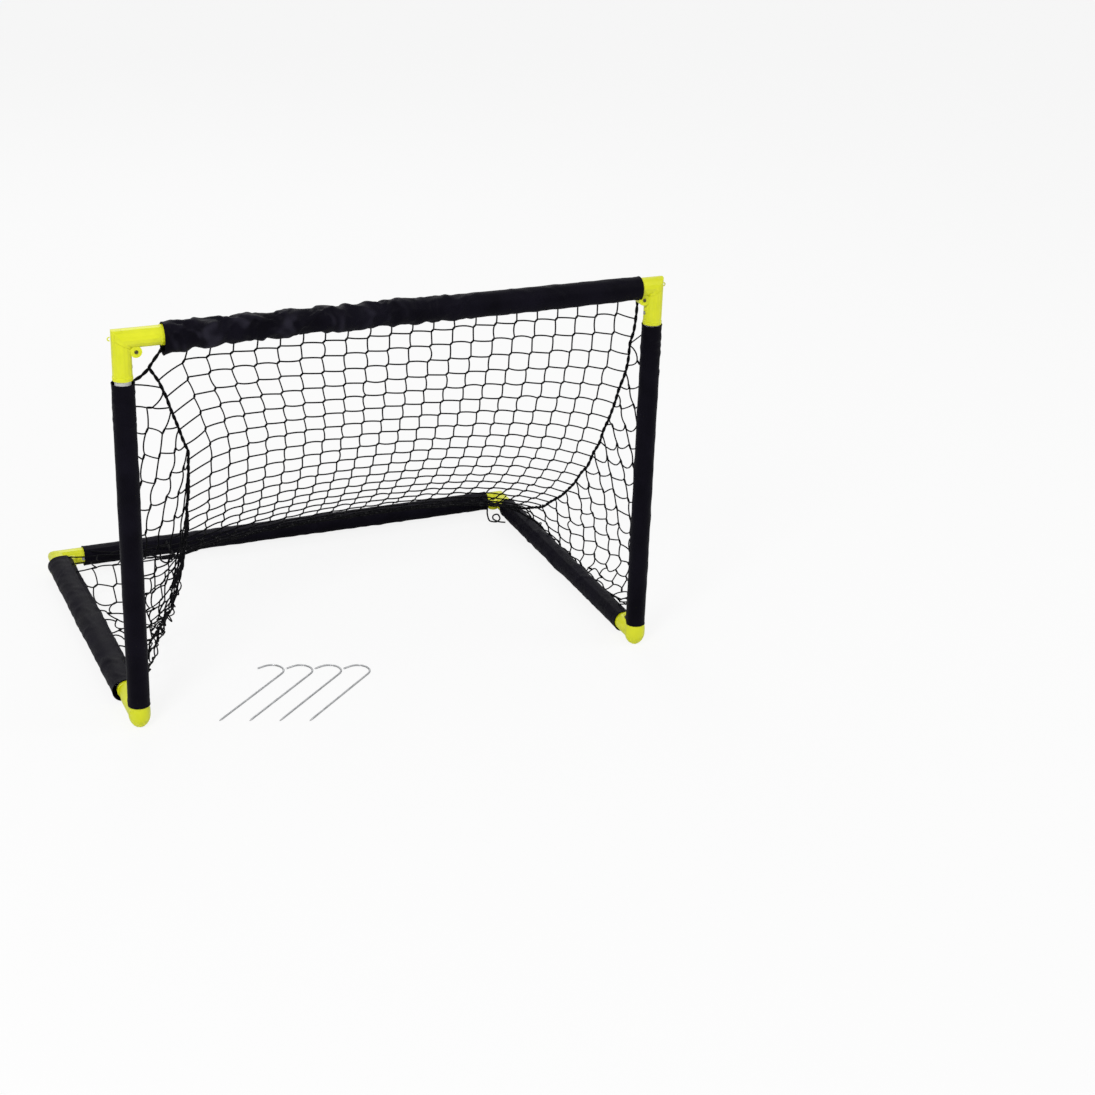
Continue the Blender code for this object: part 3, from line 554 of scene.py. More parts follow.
sleeves = {
    "crossbar_sleeve": {
        "body": "crossbar", "bore": 0.0172, "slack": 0.0052, "hang": (0, 0, -1),
        "starts": 0.003, "ends": 0.004, "droop": 0.0085, "pull": 0.0010, "netSide": (0, 0.5, -0.87),
        "seed": 11,
        "creases": (
            creaseSet(170, (0.0, 0.62, 1.25), (0.15, 1.2), (0.0034, 0.0085), (0.014, 0.040), 0.00215),
            creaseSet(60, (0.3, 1.0, 1.0), (0.2, 1.3), (0.004, 0.009), (0.012, 0.030), 0.00060),
            creaseSet(16, (0.0, 0.5, 1.2), (0.0, 0.7), (0.014, 0.024), (0.03, 0.06), 0.0030))},
    "left_post_sleeve": {
        "body": "left_post", "bore": 0.0173, "slack": 0.0006, "hang": (0, 1, 0),
        "starts": 0.0, "ends": 0.013, "backLift": 0.016, "netSide": (0.5, 0.87, 0), "seed": 12,
        "creases": (
            creaseSet(26, (0.0, 0.14, 1.0), (0.0, 0.5), (0.003, 0.006), (0.012, 0.028), 0.00060),
            creaseSet(44, (0.0, 1.0, 1.0), (0.5, 1.5), (0.005, 0.010), (0.02, 0.06), 0.00030))},
    "right_post_sleeve": {
        "body": "right_post", "bore": 0.0163, "slack": 0.0004, "hang": (0, 1, 0),
        "starts": 0.0, "ends": 0.013, "backLift": 0.016, "netSide": (-0.5, 0.87, 0), "seed": 13,
        "creases": (
            creaseSet(26, (0.0, 0.16, 1.0), (0.0, 0.5), (0.003, 0.006), (0.012, 0.028), 0.00060),
            creaseSet(50, (0.0, 1.0, 1.0), (0.5, 1.5), (0.005, 0.010), (0.02, 0.06), 0.00036))},
    "left_side_bar_sleeve": {
        "body": "left_side_bar", "bore": 0.0174, "slack": 0.0022, "broad": 0.0055, "hang": (0, 0, -1),
        "starts": 0.004, "ends": 0.002, "netSide": (0.5, 0, 0.87), "seed": 14,
        "creases": (
            creaseSet(70, (0.0, 1.0, 1.0), (0.3, 1.4), (0.004, 0.009), (0.015, 0.045), 0.00050),
            creaseSet(10, (0.0, 1.0, 1.0), (0.0, 0.8), (0.012, 0.02), (0.03, 0.06), 0.0009))},
    "right_side_bar_sleeve": {
        "body": "right_side_bar", "bore": 0.0172, "slack": 0.0018, "hang": (0, 0, -1),
        "starts": 0.010, "ends": -0.020, "netSide": (-0.5, 0, 0.87), "seed": 15,
        "creases": (
            creaseSet(90, (0.0, 1.0, 0.8), (0.2, 1.4), (0.004, 0.009), (0.012, 0.040), 0.00060),
            creaseSet(12, (0.5, 1.0, 1.0), (0.0, 0.8), (0.012, 0.02), (0.03, 0.06), 0.0012))},
    "rear_bar_sleeve": {
        "body": "rear_bar", "bore": 0.0170, "slack": 0.0018, "hang": (0, 0, -1),
        "starts": 0.0, "ends": 0.002, "netSide": (0, -0.6, 0.8), "seed": 16,
        "creases": (
            creaseSet(80, (0.0, 1.0, 1.0), (0.2, 1.4), (0.004, 0.009), (0.015, 0.045), 0.00055),)},
}
# The cloth of every sleeve: ripples, slack, the ridge where the net is sewn on, the hem, and the
# painted highlight on the crests of the ripples
sleeveMesh = {
    "alongStep": 0.0022, "around": 88, "cloth": 0.0007, "hemWidth": 0.012, "tautHems": 1.6,
    "rippleMost": 0.0052, "rippleLeast": -0.0006, "tautRipple": 0.45, "slackPower": 1.5,
    "slackEven": 0.78, "slackWaves": 0.22, "droopLength": 0.030, "seamHigh": 0.0012,
    "seamSpread": 0.012, "pullSpread": 0.25, "stitchDeep": -0.0005, "stitchWide": 0.0012,
    "rollHigh": 0.0006, "rollWide": 0.0018, "backPower": 0.6, "crestFrom": 0.0024, "crestPower": 1.6,
    "smooth": 75}

barAxis = {"crossbar": xAxis, "left_post": -zAxis, "right_post": -zAxis,
           "left_side_bar": yAxis, "right_side_bar": yAxis, "rear_bar": xAxis}


def makeSleeve(node, spec, grid):
    axis = np.array(barAxis[spec["body"]])
    low, high = (np.array(c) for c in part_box(node))
    centre = (low + high) / 2
    reach = abs(np.dot(high - low, axis)) / 2
    start, end = -reach - spec["starts"], reach + spec["ends"]
    length = end - start
    hang = np.array(spec["hang"], float)
    side = np.cross(hang, axis)
    rows = int(round(length / grid["alongStep"])) + 1
    along = np.linspace(0, 1, rows)[:, None]
    around = np.linspace(0, 2 * np.pi, grid["around"], endpoint=False)[None, :]
    direction = np.cos(around)[..., None] * hang + np.sin(around)[..., None] * side
    fromEdge = np.minimum(along, 1 - along) * length
    taut = np.clip(fromEdge / (grid["tautHems"] * grid["hemWidth"]), 0, 1)
    girth = 2 * np.pi * (spec["bore"] + 0.5 * spec["slack"])
    hanging = np.clip(np.cos(around), 0, 1)
    waves = grid["slackEven"] + grid["slackWaves"] * np.cos(9 * along)
    slack = spec["slack"] * hanging ** grid["slackPower"] * waves
    fading = np.exp(-along * length / grid["droopLength"])
    slack = slack + spec.get("droop", 0) * hanging ** 2 * fading
    creased = sum(
        part["height"] * creaseField(along, around, length, girth, part, spec["seed"] + 20 * k)
        for k, part in enumerate(spec["creases"]))
    ripple = grid["rippleMost"] * np.tanh(creased / grid["rippleMost"])
    ripple = ripple * (grid["tautRipple"] + (1 - grid["tautRipple"]) * taut)
    broad = spec.get("broad", 0) * np.sin(around) ** 2
    seamSide = unit(np.array(spec["netSide"], float))
    near = 1 - np.sum(direction * seamSide, axis=2)
    seam = grid["seamHigh"] * np.exp(-near / grid["seamSpread"])
    cells = np.cos(2 * np.pi * along * length / net["cell"])
    pulls = spec.get("pull", 0) * np.exp(-near / grid["pullSpread"]) * cells
    stitch = grid["stitchDeep"] * np.exp(-((fromEdge - grid["hemWidth"]) / grid["stitchWide"]) ** 2)
    roll = grid["rollHigh"] * np.exp(-(fromEdge / grid["rollWide"]) ** 2)
    folds = np.maximum(ripple + pulls, grid["rippleLeast"])
    radius = spec["bore"] + broad + slack + folds + seam + stitch + roll
    back = np.clip(direction[..., 1], 0, 1) ** grid["backPower"]
    lift = spec.get("backLift", 0) * back
    place = start + along * (length - lift)
    points = centre + place[..., None] * axis + radius[..., None] * direction
    points = points.reshape(-1, 3)
    faces = ringFaces(rows, grid["around"])
    uv = np.stack(np.broadcast_arrays(around / (2 * np.pi) * girth, along * length), axis=-1)
    piece = meshPiece(camel(node), points, faces, fabric, "black_fabric", uv=uv.reshape(-1, 2),
                      smooth=grid["smooth"])
    # Painted highlight: the higher a ripple's crest, the more of the lighter crest colour it gets,
    # standing in for lamp light on the folds
    highlightMask = np.clip((ripple - grid["crestFrom"]) / grid["crestFrom"], 0, 1) ** grid["crestPower"]
    crest = piece.data.attributes.new("crest", "FLOAT", "POINT")
    crest.data.foreach_set("value", highlightMask.astype(np.float32).ravel())
    bulk = sum(p.normal.dot(p.center - Vector(centre)) for p in piece.data.polygons)
    if bulk < 0:
        piece.data.flip_normals()
    wall = piece.modifiers.new("cloth", "SOLIDIFY")
    wall.thickness = grid["cloth"]
    wall.offset = -1
    wall.use_even_offset = False
    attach(piece, spec["body"])
    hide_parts(node)


for sleeveNode, sleeveSpec in sleeves.items():
    makeSleeve(sleeveNode, sleeveSpec, sleeveMesh)
print("sleeves made")


# The net. Cords are chains of lengths between knots. Each knot is a short lay where two cords run
# together, so a slack cell draws into a hexagon. The cords settle under gravity, held at their length.

# Seams, as curves from the crossbar to the rear bar: fall gives the two middle control points of the
# side view (behind the post, height); inset gives (share of the way, distance in from the post's plane)
seams = {
    "fall": ((0.0823, 0.3827), (0.2067, 0.0998)), "topAngle": 60.0, "footAngle": 37.0, "proud": 0.0015,
    "left": ((0, 0.069), (0.055, 0.045), (0.09, 0.060), (0.134, 0.074), (0.176, 0.086),
             (0.278, 0.116), (0.364, 0.122), (0.478, 0.131), (0.7, 0.157), (1, 0.197)),
    "right": ((0, 0.024), (0.1, 0.017), (0.2, 0.015), (0.3, 0.017), (0.5, 0.014), (0.7, 0.019),
              (1, 0.040))}


def seamCurve(side, t):
    top, foot = math.radians(seams["topAngle"]), math.radians(seams["footAngle"])
    seat = sleeveR + seams["proud"]
    fall = seams["fall"]
    t = np.asarray(t, float)
    y = [postY + seat * math.cos(top), *(postY + f[0] for f in fall), rearY - seat * math.cos(foot)]
    z = [barZ - seat * math.sin(top), *(f[1] for f in fall), groundZ + seat * math.sin(foot)]
    share = [(1 - t) ** 3, 3 * t * (1 - t) ** 2, 3 * t ** 2 * (1 - t), t ** 3]
    insets = np.array(seams["left" if side < 0 else "right"])
    x = side * (postX - np.interp(t, insets[:, 0], insets[:, 1]))
    return np.stack([x, *(sum(v * w for v, w in zip(line, share)) for line in (y, z))], axis=-1)


# The share along a seam at equal lengths of cord
def evenShares(side, shares):
    fine = np.linspace(0, 1, 800)
    path = seamCurve(side, fine)
    run = runAlong(path)
    return np.interp(np.asarray(shares) * run[-1], run, fine)


# Each step lets the points fall, with a share of gravity as a push along x, then draws every cord back
# to its length; ends that are held don't move. A point inside a bar's sleeve is moved out to its
# surface, on the side that the bar's sign gives. Gravity fades, so the cords end at their full length.
settling = {
    "reach": 1.75, "keeps": 0.9, "fades": 0.97, "slackShare": 0.15, "floor": 0.0022, "aside": 0.3}


def settle(points, held, pairs, rest, spec, push=0.0):
    clear = sleeveR + 2 * spec["cordR"]
    bars = [((0, 2), np.array([side * postX, groundZ]), 1) for side in (-1, 1)]
    bars.append(((1, 2), np.array([rearY, groundZ]), -1))
    count = len(points)
    i, j = pairs[:, 0], pairs[:, 1]
    uses = np.bincount(pairs.ravel(), minlength=count)[:, None]
    free = (~held)[:, None] * (settling["reach"] / np.maximum(uses, 1))
    falls = (~held)[:, None].astype(float)
    before = points.copy()
    for step in range(spec["steps"]):
        fade = 1 - settling["fades"] * step / spec["steps"]
        drift = (points - before) * settling["keeps"]
        before = points.copy()
        points = points + falls * (drift + np.array([push, 0, -1.0]) * spec["gravity"] * fade)
        for _ in range(spec["rounds"]):
            gap = points[j] - points[i]
            length = np.sqrt(np.einsum("nk,nk->n", gap, gap))
            off = (length - rest) / np.maximum(length, 1e-9)
            share = gap * (0.5 * np.where(off > 0, off, off * settling["slackShare"]))[:, None]
            move = np.stack([
                np.bincount(i, share[:, k], count) - np.bincount(j, share[:, k], count)
                for k in range(3)], axis=1)
            points = points + free * move
        for plane, axis, sign in bars:
            out = points[:, plane] - axis
            out[:, 0] = sign * np.maximum(np.abs(out[:, 0]), settling["aside"] * clear)
            away = np.linalg.norm(out, axis=1, keepdims=True)
            inside = (away < clear) & (points[:, 1:2] > postY + clear) & falls.astype(bool)
            moved = axis + out / np.maximum(away, 1e-6) * clear
            points[:, plane] = np.where(inside, moved, points[:, plane])
        points[:, 2] = np.maximum(points[:, 2], settling["floor"])
    return points


# Lines of a net as chains: every chain is held end, knots, held end. At a knot the row comes in at its
# first point and leaves at its second; the column comes in at its second and leaves at its first.
class NetPlan:
    def __init__(self):
        self.points, self.held, self.strands, self.knots, self.lengths = [], [], [], [], []

    def hold(self, place):
        self.points.append(place)
        self.held.append(True)
        return len(self.points) - 1

    def tie(self, place, lay):
        first = len(self.points)
        self.points += [place - lay / 2, place + lay / 2]
        self.held += [False, False]
        self.knots.append((first, first + 1))
        return first

    def chain(self, start, ties, end, asRow, lengths):
        comes = [t if asRow else t + 1 for t in ties] + [end]
        leaves = [start] + [t + 1 if asRow else t for t in ties]
        self.strands += list(zip(leaves, comes))
        self.lengths += list(lengths)


def relaxPlan(plan, spec, seed, spread, knot, push=0.0):
    points = np.array(plan.points)
    strands = np.array(plan.strands)
    knots = np.array(plan.knots)
    rng = np.random.default_rng(seed)
    middles = (points[strands[:, 0]] + points[strands[:, 1]]) / 2
    middles = middles + rng.normal(0, spread, middles.shape)
    vary = spec["lengthSpread"] * spread
    cordLength = np.array(plan.lengths) * rng.uniform(1 - vary, 1 + vary, len(strands))
    midpoints = len(points) + np.arange(len(strands))
    everyPoint = np.concatenate([points, middles])
    held = np.concatenate([np.array(plan.held), np.zeros(len(strands), bool)])
    pairs = np.concatenate([
        np.stack([strands[:, 0], midpoints], 1), np.stack([midpoints, strands[:, 1]], 1), knots])
    rest = np.concatenate([cordLength / 2, cordLength / 2, np.full(len(knots), knot)])
    settled = settle(everyPoint, held, pairs, rest, spec, push)
    return settled, strands, midpoints, knots


# Each cord is drawn as a parabola through its ends a and b and its middle m: with c = 2 m - (a + b) / 2
# it is (1 - t)^2 a + 2 t (1 - t) c + t^2 b. A knot is a short tube that swells between its two points.
def netField(settled, strands, midpoints, knots, spec, bow):
    rng = np.random.default_rng(spec["seed"] + 90)
    a, b = settled[strands[:, 0]], settled[strands[:, 1]]
    m = settled[midpoints] + rng.normal(0, bow, (len(midpoints), 3))
    turn = 2 * m - (a + b) / 2
    t = np.linspace(0, 1, 6)[None, :, None]
    paths = a[:, None] * (1 - t) ** 2 + turn[:, None] * 2 * t * (1 - t) + b[:, None] * t ** 2
    lay = settled[knots[:, 1]] - settled[knots[:, 0]]
    s = np.array(spec["knotAt"])[None, :, None]
    knotPaths = settled[knots[:, 0]][:, None] + lay[:, None] * s
    knotRadii = np.array(spec["knotSize"]) * spec["knotR"]
    sides = spec["cordSides"]
    return joinFields([tubeField(paths, spec["cordR"], sides), tubeField(knotPaths, knotRadii, sides)])


# The back panel: its point (row, column) is left seam * (1 - s) + right seam * s at equal shares down
# both seams, and each knot lies aslant, down the net and across it
def backPlan(spec):
    plan = NetPlan()
    rows, columns = spec["backRows"], spec["backColumns"]
    level = np.arange(rows + 1) / rows
    left, right = (seamCurve(side, evenShares(side, level)) for side in (-1, 1))
    leftTies, rightTies = (
        seamCurve(side, evenShares(side, np.clip(level + lower / rows * (1 - level), 0, 1)))
        for side, lower in zip((-1, 1), spec["tiedLower"]))
    s = (np.arange(columns + 1) / columns)[None, :, None]
    grid = left[:, None] * (1 - s) + right[:, None] * s
    down = unit(np.gradient(grid, axis=0))
    lay = (unit(np.array([1.0, 0.0, 0.0]) - down * spec["backLay"])) * spec["knot"]
    ties = np.array([
        [plan.tie(grid[j, i], lay[j, i]) for i in range(1, columns)] for j in range(1, rows)])
    for j in range(1, rows):
        cells = np.linalg.norm(np.diff(grid[j], axis=0), axis=1)
        cords = cells * spec["backSlack"] - spec["knot"] * spec["takes"]["row"]
        cords[0] = np.linalg.norm(grid[j, 1] - leftTies[j]) * spec["backEnds"]
        cords[-1] = np.linalg.norm(grid[j, -2] - rightTies[j]) * spec["backEnds"]
        plan.chain(plan.hold(leftTies[j]), ties[j - 1].tolist(), plan.hold(rightTies[j]), True, cords)
    for i in range(1, columns):
        tight = 1 - spec["backTight"] * math.sin(math.pi * i / columns) ** 0.6
        cells = np.linalg.norm(np.diff(grid[:, i], axis=0), axis=1)
        cords = cells * tight - spec["knot"] * spec["takes"]["column"]
        start, end = plan.hold(grid[0, i]), plan.hold(grid[rows, i])
        plan.chain(start, ties[:, i - 1].tolist(), end, False, cords)
    return plan


# A side panel is cut as a triangle of even cells: one leg up the post, one along the side bar and a
# little of the rear bar, and the seam as its long side. In the frame its seam hangs lower than that
# long side, so the cells have cord to spare and gravity draws them into folds.
sidePanel = {
    "left": {"across": 19, "up": 20, "row": 1.02, "column": 0.99, "swell": -0.03, "share": 0.86,
             "bunch": 1.35, "tieFrom": 0.055, "edge": -0.55},
    "right": {"across": 16, "up": 18, "row": 1.06, "column": 0.89, "swell": 0.036, "share": 0.95,
              "bunch": 1.2, "tieFrom": 0.055, "edge": 0.30},
    "postFoot": 0.050, "postTop": 0.602, "barStart": 0.045, "seat": 0.84, "lay": (0.0, 0.5, 0.85),
    "swellFrom": 0.3, "cutShort": 0.4}


def sidePlan(side, spec, shape):
    plan = NetPlan()
    panel = shape["left" if side < 0 else "right"]
    across, up = panel["across"], panel["up"]
    row, column = spec["cell"] * panel["row"], spec["cell"] * panel["column"]
    edge = side * (postX + sleeveR * panel["edge"])
    seat = sleeveR * shape["seat"]
    seamFoot = seamCurve(side, 1.0)[0]
    corner = rearY - sleeveR

    def postAt(r):
        z = shape["postFoot"] + (shape["postTop"] - shape["postFoot"]) * r ** panel["bunch"]
        return np.array([edge, postY + seat, z])

    def barAt(s):
        start = postY + shape["barStart"]
        if s < panel["share"]:
            y = start + (corner - start) * s / panel["share"]
            return np.array([edge, y, groundZ + seat])
        rest = (s - panel["share"]) / (1 - panel["share"])
        return np.array([edge + (seamFoot - edge) * rest, corner, groundZ + seat])

    def seamAt(w):
        share = evenShares(side, panel["tieFrom"] + (1 - panel["tieFrom"]) * w)
        return seamCurve(side, float(share))

    def place(s, r):
        w = s / (s + r)
        leg = postAt(r) + barAt(s) - postAt(0)
        off = seamAt(w) - (postAt(1 - w) + barAt(w) - postAt(0))
        fading = min(r / shape["swellFrom"], 1)
        bulge = side * panel["swell"] * math.sin(math.pi * min(s + r, 1)) * fading
        return leg + off * (s + r) ** 2 + np.array([bulge, 0, 0])

    ties = {}
    lay = np.array(shape["lay"]) * spec["sideKnot"]
    taken = spec["sideKnot"] * spec["takes"]["side"]
    for j in range(1, up):
        for i in range(1, across):
            if i / across + j / up < 1 - shape["cutShort"] / up:
                ties[i, j] = plan.tie(place(i / across, j / up), lay)
    for j in range(1, up):
        line = [ties[i, j] for i in range(1, across) if (i, j) in ties]
        last = across * (1 - j / up) * row - len(line) * row
        cords = [row - taken] * len(line) + [last]
        plan.chain(plan.hold(postAt(j / up)), line, plan.hold(seamAt(1 - j / up)), True, cords)
    for i in range(1, across):
        line = [ties[i, j] for j in range(1, up) if (i, j) in ties][::-1]
        last = up * (1 - i / across) * column - len(line) * column
        cords = [last] + [column - taken] * len(line)
        plan.chain(plan.hold(seamAt(i / across)), line, plan.hold(barAt(i / across)), False, cords)
    return plan


def makeNets():
    settled = relaxPlan(backPlan(net), net, net["seed"], net["backSpread"], net["knot"])
    field = netField(*settled, net, net["backBow"])
    back = meshPiece("backNet", *field, cord, "net_cord", smooth=60)
    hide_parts("back_net")
    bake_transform(back)
    print("back net settled")
    for side, name, node, body in ((-1, "leftSideNet", "left_side_net", "left_post"),
                                   (1, "rightSideNet", "right_side_net", "right_post")):
        plan = sidePlan(side, net, sidePanel)
        push = net["sidePush"][side > 0]
        settled = relaxPlan(
            plan, net, net["seed"] + 2 + side, net["sideSpread"], net["sideKnot"], push)
        field = netField(*settled, net, net["sideBow"])
        panel = meshPiece(name, *field, cord, "net_cord", smooth=60)
        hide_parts(node)
        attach(panel, body)
        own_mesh(panel)
    print("side nets settled")


makeNets()


# Seam ropes: two cords laid round each other along the seam, with a kink where each row of the net
# pulls. A loose end hangs from each rope's foot, and a short tie joins the left rope's kink to the
# post's sleeve.
rope = {
    "cordR": 0.00175, "layR": 0.00105, "pitch": 0.034, "kink": 0.0014, "step": 0.0022, "endR": 0.0015,
    "sides": 8, "tieFrom": 0.056, "tieSag": 0.0015, "tieIn": 0.9, "tieBack": 0.4, "tieUnder": 0.004,
    "tieTail": 0.016,
    "ends": {
        "left": ((0.0, 0.0, 0.0), (-0.010, -0.006, -0.012), (-0.016, -0.014, -0.026),
                 (-0.008, -0.024, -0.031), (0.004, -0.020, -0.031), (0.006, -0.010, -0.030)),
        "right": ((0.0, 0.0, 0.0), (0.004, -0.014, -0.008), (0.000, -0.026, -0.022),
                  (0.000, -0.040, -0.031), (0.010, -0.048, -0.031), (0.020, -0.042, -0.028),
                  (0.020, -0.030, -0.024), (0.012, -0.028, -0.026), (0.008, -0.038, -0.029),
                  (0.016, -0.050, -0.031), (0.026, -0.056, -0.031))}}


# A smooth line through a few points: one cubic between each two, whose slope at a point is half the way
# from the point before it to the point after it
def smoothLine(places, steps):
    p = np.asarray(places, float)
    p = np.concatenate([2 * p[:1] - p[1:2], p, 2 * p[-1:] - p[-2:-1]])
    t = np.linspace(0, 1, steps, endpoint=False)[:, None]
    parts = [
        p[k] + 0.5 * t * (p[k + 1] - p[k - 1] + t * (
            2 * p[k - 1] - 5 * p[k] + 4 * p[k + 1] - p[k + 2] + t * (
                3 * (p[k] - p[k + 1]) + p[k + 2] - p[k - 1])))
        for k in range(1, len(p) - 2)]
    return np.concatenate(parts + [p[-2:-1]])


def ropeField(path, spec):
    run = runAlong(path)
    s = np.linspace(0, run[-1], int(run[-1] / spec["step"]))
    line = pointsAt(path, run, s)
    tangent = unit(np.gradient(line, axis=0))
    side = unit(np.cross(tangent, np.array([1.0, 0.15, 0.0])))
    across = np.cross(tangent, side)
    fields = []
    for phase in (0.0, np.pi):
        turn = (2 * np.pi * s / spec["pitch"] + phase)[:, None]
        lay = line + spec["layR"] * (np.cos(turn) * side + np.sin(turn) * across)
        fields.append(tubeField(lay[None], spec["cordR"], spec["sides"]))
    return fields


def makeRopes(spec):
    for side, name, node in ((-1, "leftNetRope", "left_net_rope"),
                             (1, "rightNetRope", "right_net_rope")):
        rng = np.random.default_rng(40 + side)
        knots = net["backRows"]
        kinks = rng.normal(0, 1, (knots + 1, 3)) * spec["kink"]
        kinks[[0, -1]] = 0
        wander = smoothLine(kinks, 6)
        path = seamCurve(side, np.linspace(0, 1, len(wander))) + wander
        foot = seamCurve(side, 1.0)
        loose = smoothLine(np.array(spec["ends"]["left" if side < 0 else "right"]) + foot, 8)
        loose[:, 2] = np.maximum(loose[:, 2], spec["endR"] * 1.2)
        fields = ropeField(path, spec) + [tubeField(loose[None], spec["endR"], spec["sides"])]
        piece = meshPiece(name, *joinFields(fields), cord, "net_cord", smooth=60)
        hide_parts(node)
        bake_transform(piece)


def makeTie(spec):
    start = seamCurve(-1, spec["tieFrom"])
    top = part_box("left_post_sleeve")[1].z
    end = np.array([
        -postX + sleeveR * spec["tieIn"], postY + sleeveR * spec["tieBack"], top - spec["tieUnder"]])
    middlePoint = (start + end) / 2 - np.array([0, 0, spec["tieSag"]])
    tail = end - np.array([0.0, 0.0, spec["tieTail"]])
    path = smoothLine([start, middlePoint, end, tail], 12)
    field = joinFields(ropeField(path, spec))
    piece = meshPiece("leftTieCord", *field, cord, "net_cord", smooth=60)
    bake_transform(piece)


makeRopes(rope)
makeTie(rope)
print("ropes made")


# Pegs: a leg, a hook of a given turn and a short tail, as one path with a round wire carried along it
pegs = {
    "leg": 0.1850, "hookR": 0.0205, "turn": 157.0, "tail": 0.0140, "heading": 41.0, "point": 0.006,
    "pointShare": 0.45, "rounding": 0.002, "sides": 16}


def makePeg(number, spec):
    node = f"ground_peg_{number}"
    low, high = (np.array(c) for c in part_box(node))
    wireR = (high[2] - low[2]) / 2
    heading, turn = math.radians(spec["heading"]), math.radians(spec["turn"])
    ahead = np.array([math.cos(heading), math.sin(heading), 0.0])
    left = np.array([-ahead[1], ahead[0], 0.0])
    leg = np.linspace(0, spec["leg"], 40)[:, None] * ahead
    a = np.linspace(0, turn, 40)[1:, None]
    hook = leg[-1] + left * spec["hookR"] * (1 - np.cos(a)) + ahead * spec["hookR"] * np.sin(a)
    out = ahead * math.cos(turn) + left * math.sin(turn)
    tail = hook[-1] + np.linspace(0, spec["tail"], 8)[1:, None] * out
    path = np.concatenate([leg, hook, tail])
    run = runAlong(path)
    point, rounding = spec["point"], spec["rounding"]
    s = np.concatenate([np.linspace(0, point, 6), np.linspace(point, run[-1] - rounding, 110)[1:],
                        run[-1] - rounding + np.linspace(0, rounding, 5)[1:]])
    path = pointsAt(path, run, s)
    taper = spec["pointShare"] + (1 - spec["pointShare"]) * np.clip(s / point, 0, 1)
    radii = wireR * taper * np.sqrt(np.clip((run[-1] - s) / rounding, 0.06, 1))
    points, faces = tubeField(path[None], radii[None], spec["sides"])
    points = points + np.array([0, 0, wireR])
    points[:, 0] += high[0] - points[:, 0].max()
    points[:, 1] += high[1] - points[:, 1].max()
    piece = meshPiece(
        f"groundPeg{number}", points, faces, steel, "zinc_steel", "crossbar", smooth=50)
    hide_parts(node)


for pegNumber in (1, 2, 3, 4):
    makePeg(pegNumber, pegs)
print("pegs made")


# Stage, lights and camera
stage = {"reach": 40, "colour": (0.9, 0.9, 0.9), "roughness": 0.9, "cameraGlow": 0.86}
studio = {"onObjects": 0.42, "seen": 1.0}
lamps = {
    "keyLamp": {"place": (-2.2, -2.6, 3.0), "size": 1.2, "power": 78},
    "fillLamp": {"place": (2.8, -1.6, 2.2), "size": 2.0, "power": 24},
    "backLamp": {"place": (0.4, 2.8, 2.6), "size": 1.8, "power": 24}}
lampTarget = (0, 0, 0.3)


def makeStage(spec):
    mesh = bpy.data.meshes.new("floor")
    far = spec["reach"]
    corners = [(-far, -far, 0), (far, -far, 0), (far, far, 0), (-far, far, 0)]
    mesh.from_pydata(corners, [], [(0, 1, 2, 3)])
    floor = bpy.data.objects.new("floor", mesh)
    bpy.context.scene.collection.objects.link(floor)
    material, tree, shader = newMaterial("paleFloor", spec["colour"], spec["roughness"])
    glow = addNode(tree, "ShaderNodeEmission")
    glow.inputs["Strength"].default_value = 1.0
    rays = addNode(tree, "ShaderNodeLightPath")
    share = addNode(tree, "ShaderNodeMath", operation="MULTIPLY")
    share.inputs[1].default_value = spec["cameraGlow"]
    mix = addNode(tree, "ShaderNodeMixShader")
    link = tree.links.new
    link(rays.outputs["Is Camera Ray"], share.inputs[0])
    link(share.outputs["Value"], mix.inputs["Fac"])
    link(shader.outputs["BSDF"], mix.inputs[1])
    link(glow.outputs["Emission"], mix.inputs[2])
    link(mix.outputs["Shader"], tree.nodes["Material Output"].inputs["Surface"])
    mesh.materials.append(material)


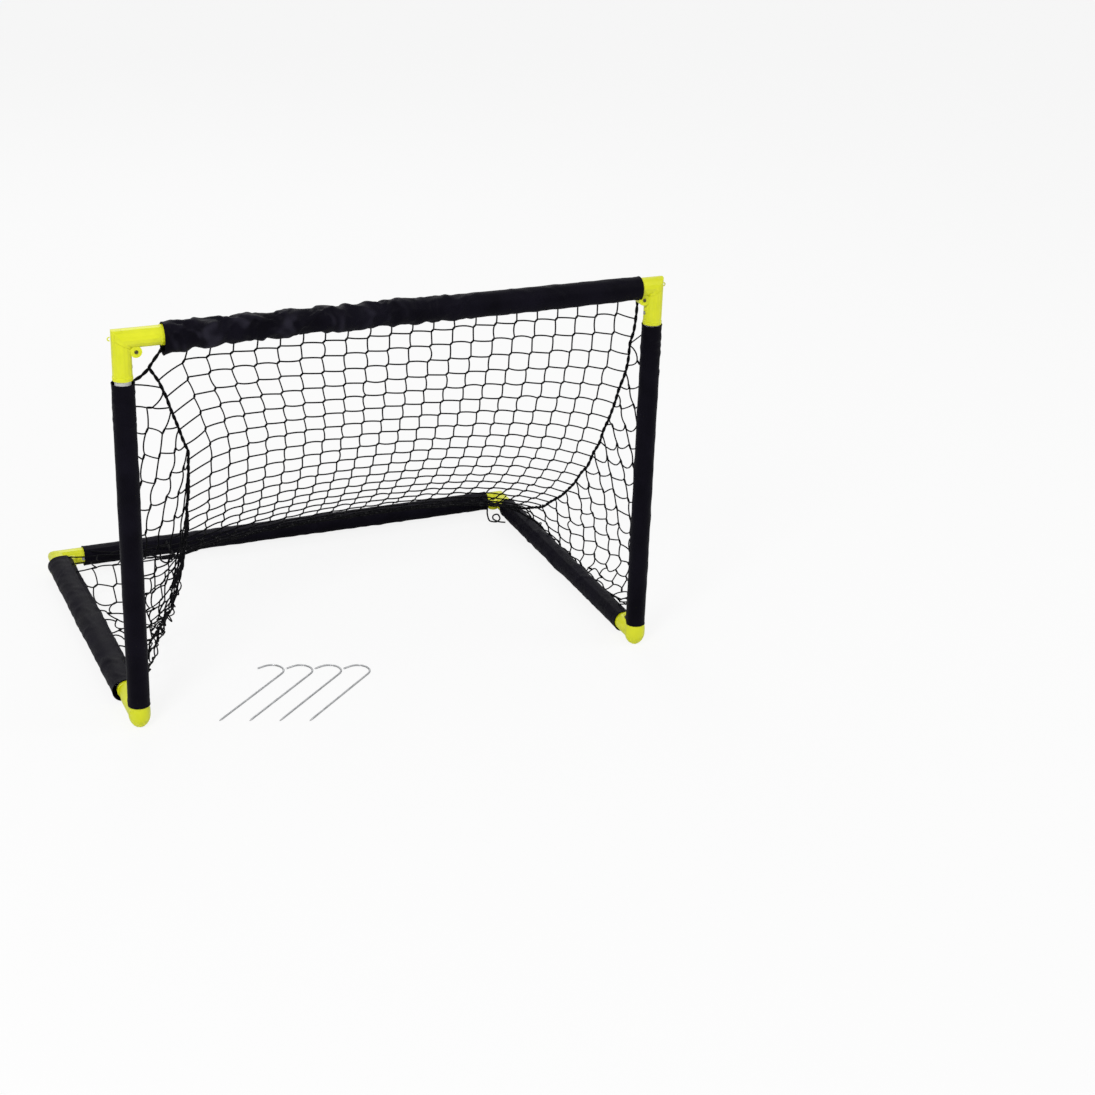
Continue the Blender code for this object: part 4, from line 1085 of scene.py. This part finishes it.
def makeWorld(spec):
    world = bpy.data.worlds.new("studio")
    bpy.context.scene.world = world
    world.use_nodes = True
    tree = world.node_tree
    background = tree.nodes["Background"]
    background.inputs["Color"].default_value = (1, 1, 1, 1)
    rays = addNode(tree, "ShaderNodeLightPath")
    seen = addNode(tree, "ShaderNodeMath", operation="MAXIMUM")
    level = addNode(tree, "ShaderNodeMapRange")
    setInputs(level, {"To Min": spec["onObjects"], "To Max": spec["seen"]})
    link = tree.links.new
    link(rays.outputs["Is Camera Ray"], seen.inputs[0])
    link(rays.outputs["Is Glossy Ray"], seen.inputs[1])
    link(seen.outputs["Value"], level.inputs["Value"])
    link(level.outputs["Result"], background.inputs["Strength"])


def makeLamp(name, spec, target):
    lamp = bpy.data.lights.new(name, "AREA")
    lamp.shape = "DISK"
    lamp.size = spec["size"]
    lamp.energy = spec["power"]
    holder = bpy.data.objects.new(name, lamp)
    holder.location = spec["place"]
    ahead = Vector(target) - Vector(spec["place"])
    holder.rotation_euler = ahead.to_track_quat("-Z", "Y").to_euler()
    bpy.context.scene.collection.objects.link(holder)


camera = {
    "place": (-1.0737, -3.2358, 1.6644), "yaw": 24.31, "pitch": 24.21, "roll": 2.12, "lens": 70.35,
    "sensor": 36, "near": 0.05}


# The camera looks along (sin yaw cos pitch, cos yaw cos pitch, -sin pitch), turned about that by its
# roll
def makeCamera(spec):
    yaw, pitch, roll = (math.radians(spec[k]) for k in ("yaw", "pitch", "roll"))
    ahead = Vector((math.sin(yaw) * math.cos(pitch), math.cos(yaw) * math.cos(pitch), -math.sin(pitch)))
    right = Vector((math.cos(yaw), -math.sin(yaw), 0))
    up = right.cross(ahead)
    rolledRight = right * math.cos(roll) + up * math.sin(roll)
    rolledUp = up * math.cos(roll) - right * math.sin(roll)
    data = bpy.data.cameras.new("camera")
    data.lens = spec["lens"]
    data.sensor_width = spec["sensor"]
    data.clip_start = spec["near"]
    holder = bpy.data.objects.new("camera", data)
    turn = Matrix((rolledRight, rolledUp, -ahead)).transposed().to_4x4()
    holder.matrix_world = Matrix.Translation(spec["place"]) @ turn
    bpy.context.scene.collection.objects.link(holder)
    bpy.context.scene.camera = holder


makeStage(stage)
makeWorld(studio)
for lampName, lampSpec in lamps.items():
    makeLamp(lampName, lampSpec, lampTarget)
makeCamera(camera)
bpy.context.scene.view_settings.view_transform = "Standard"
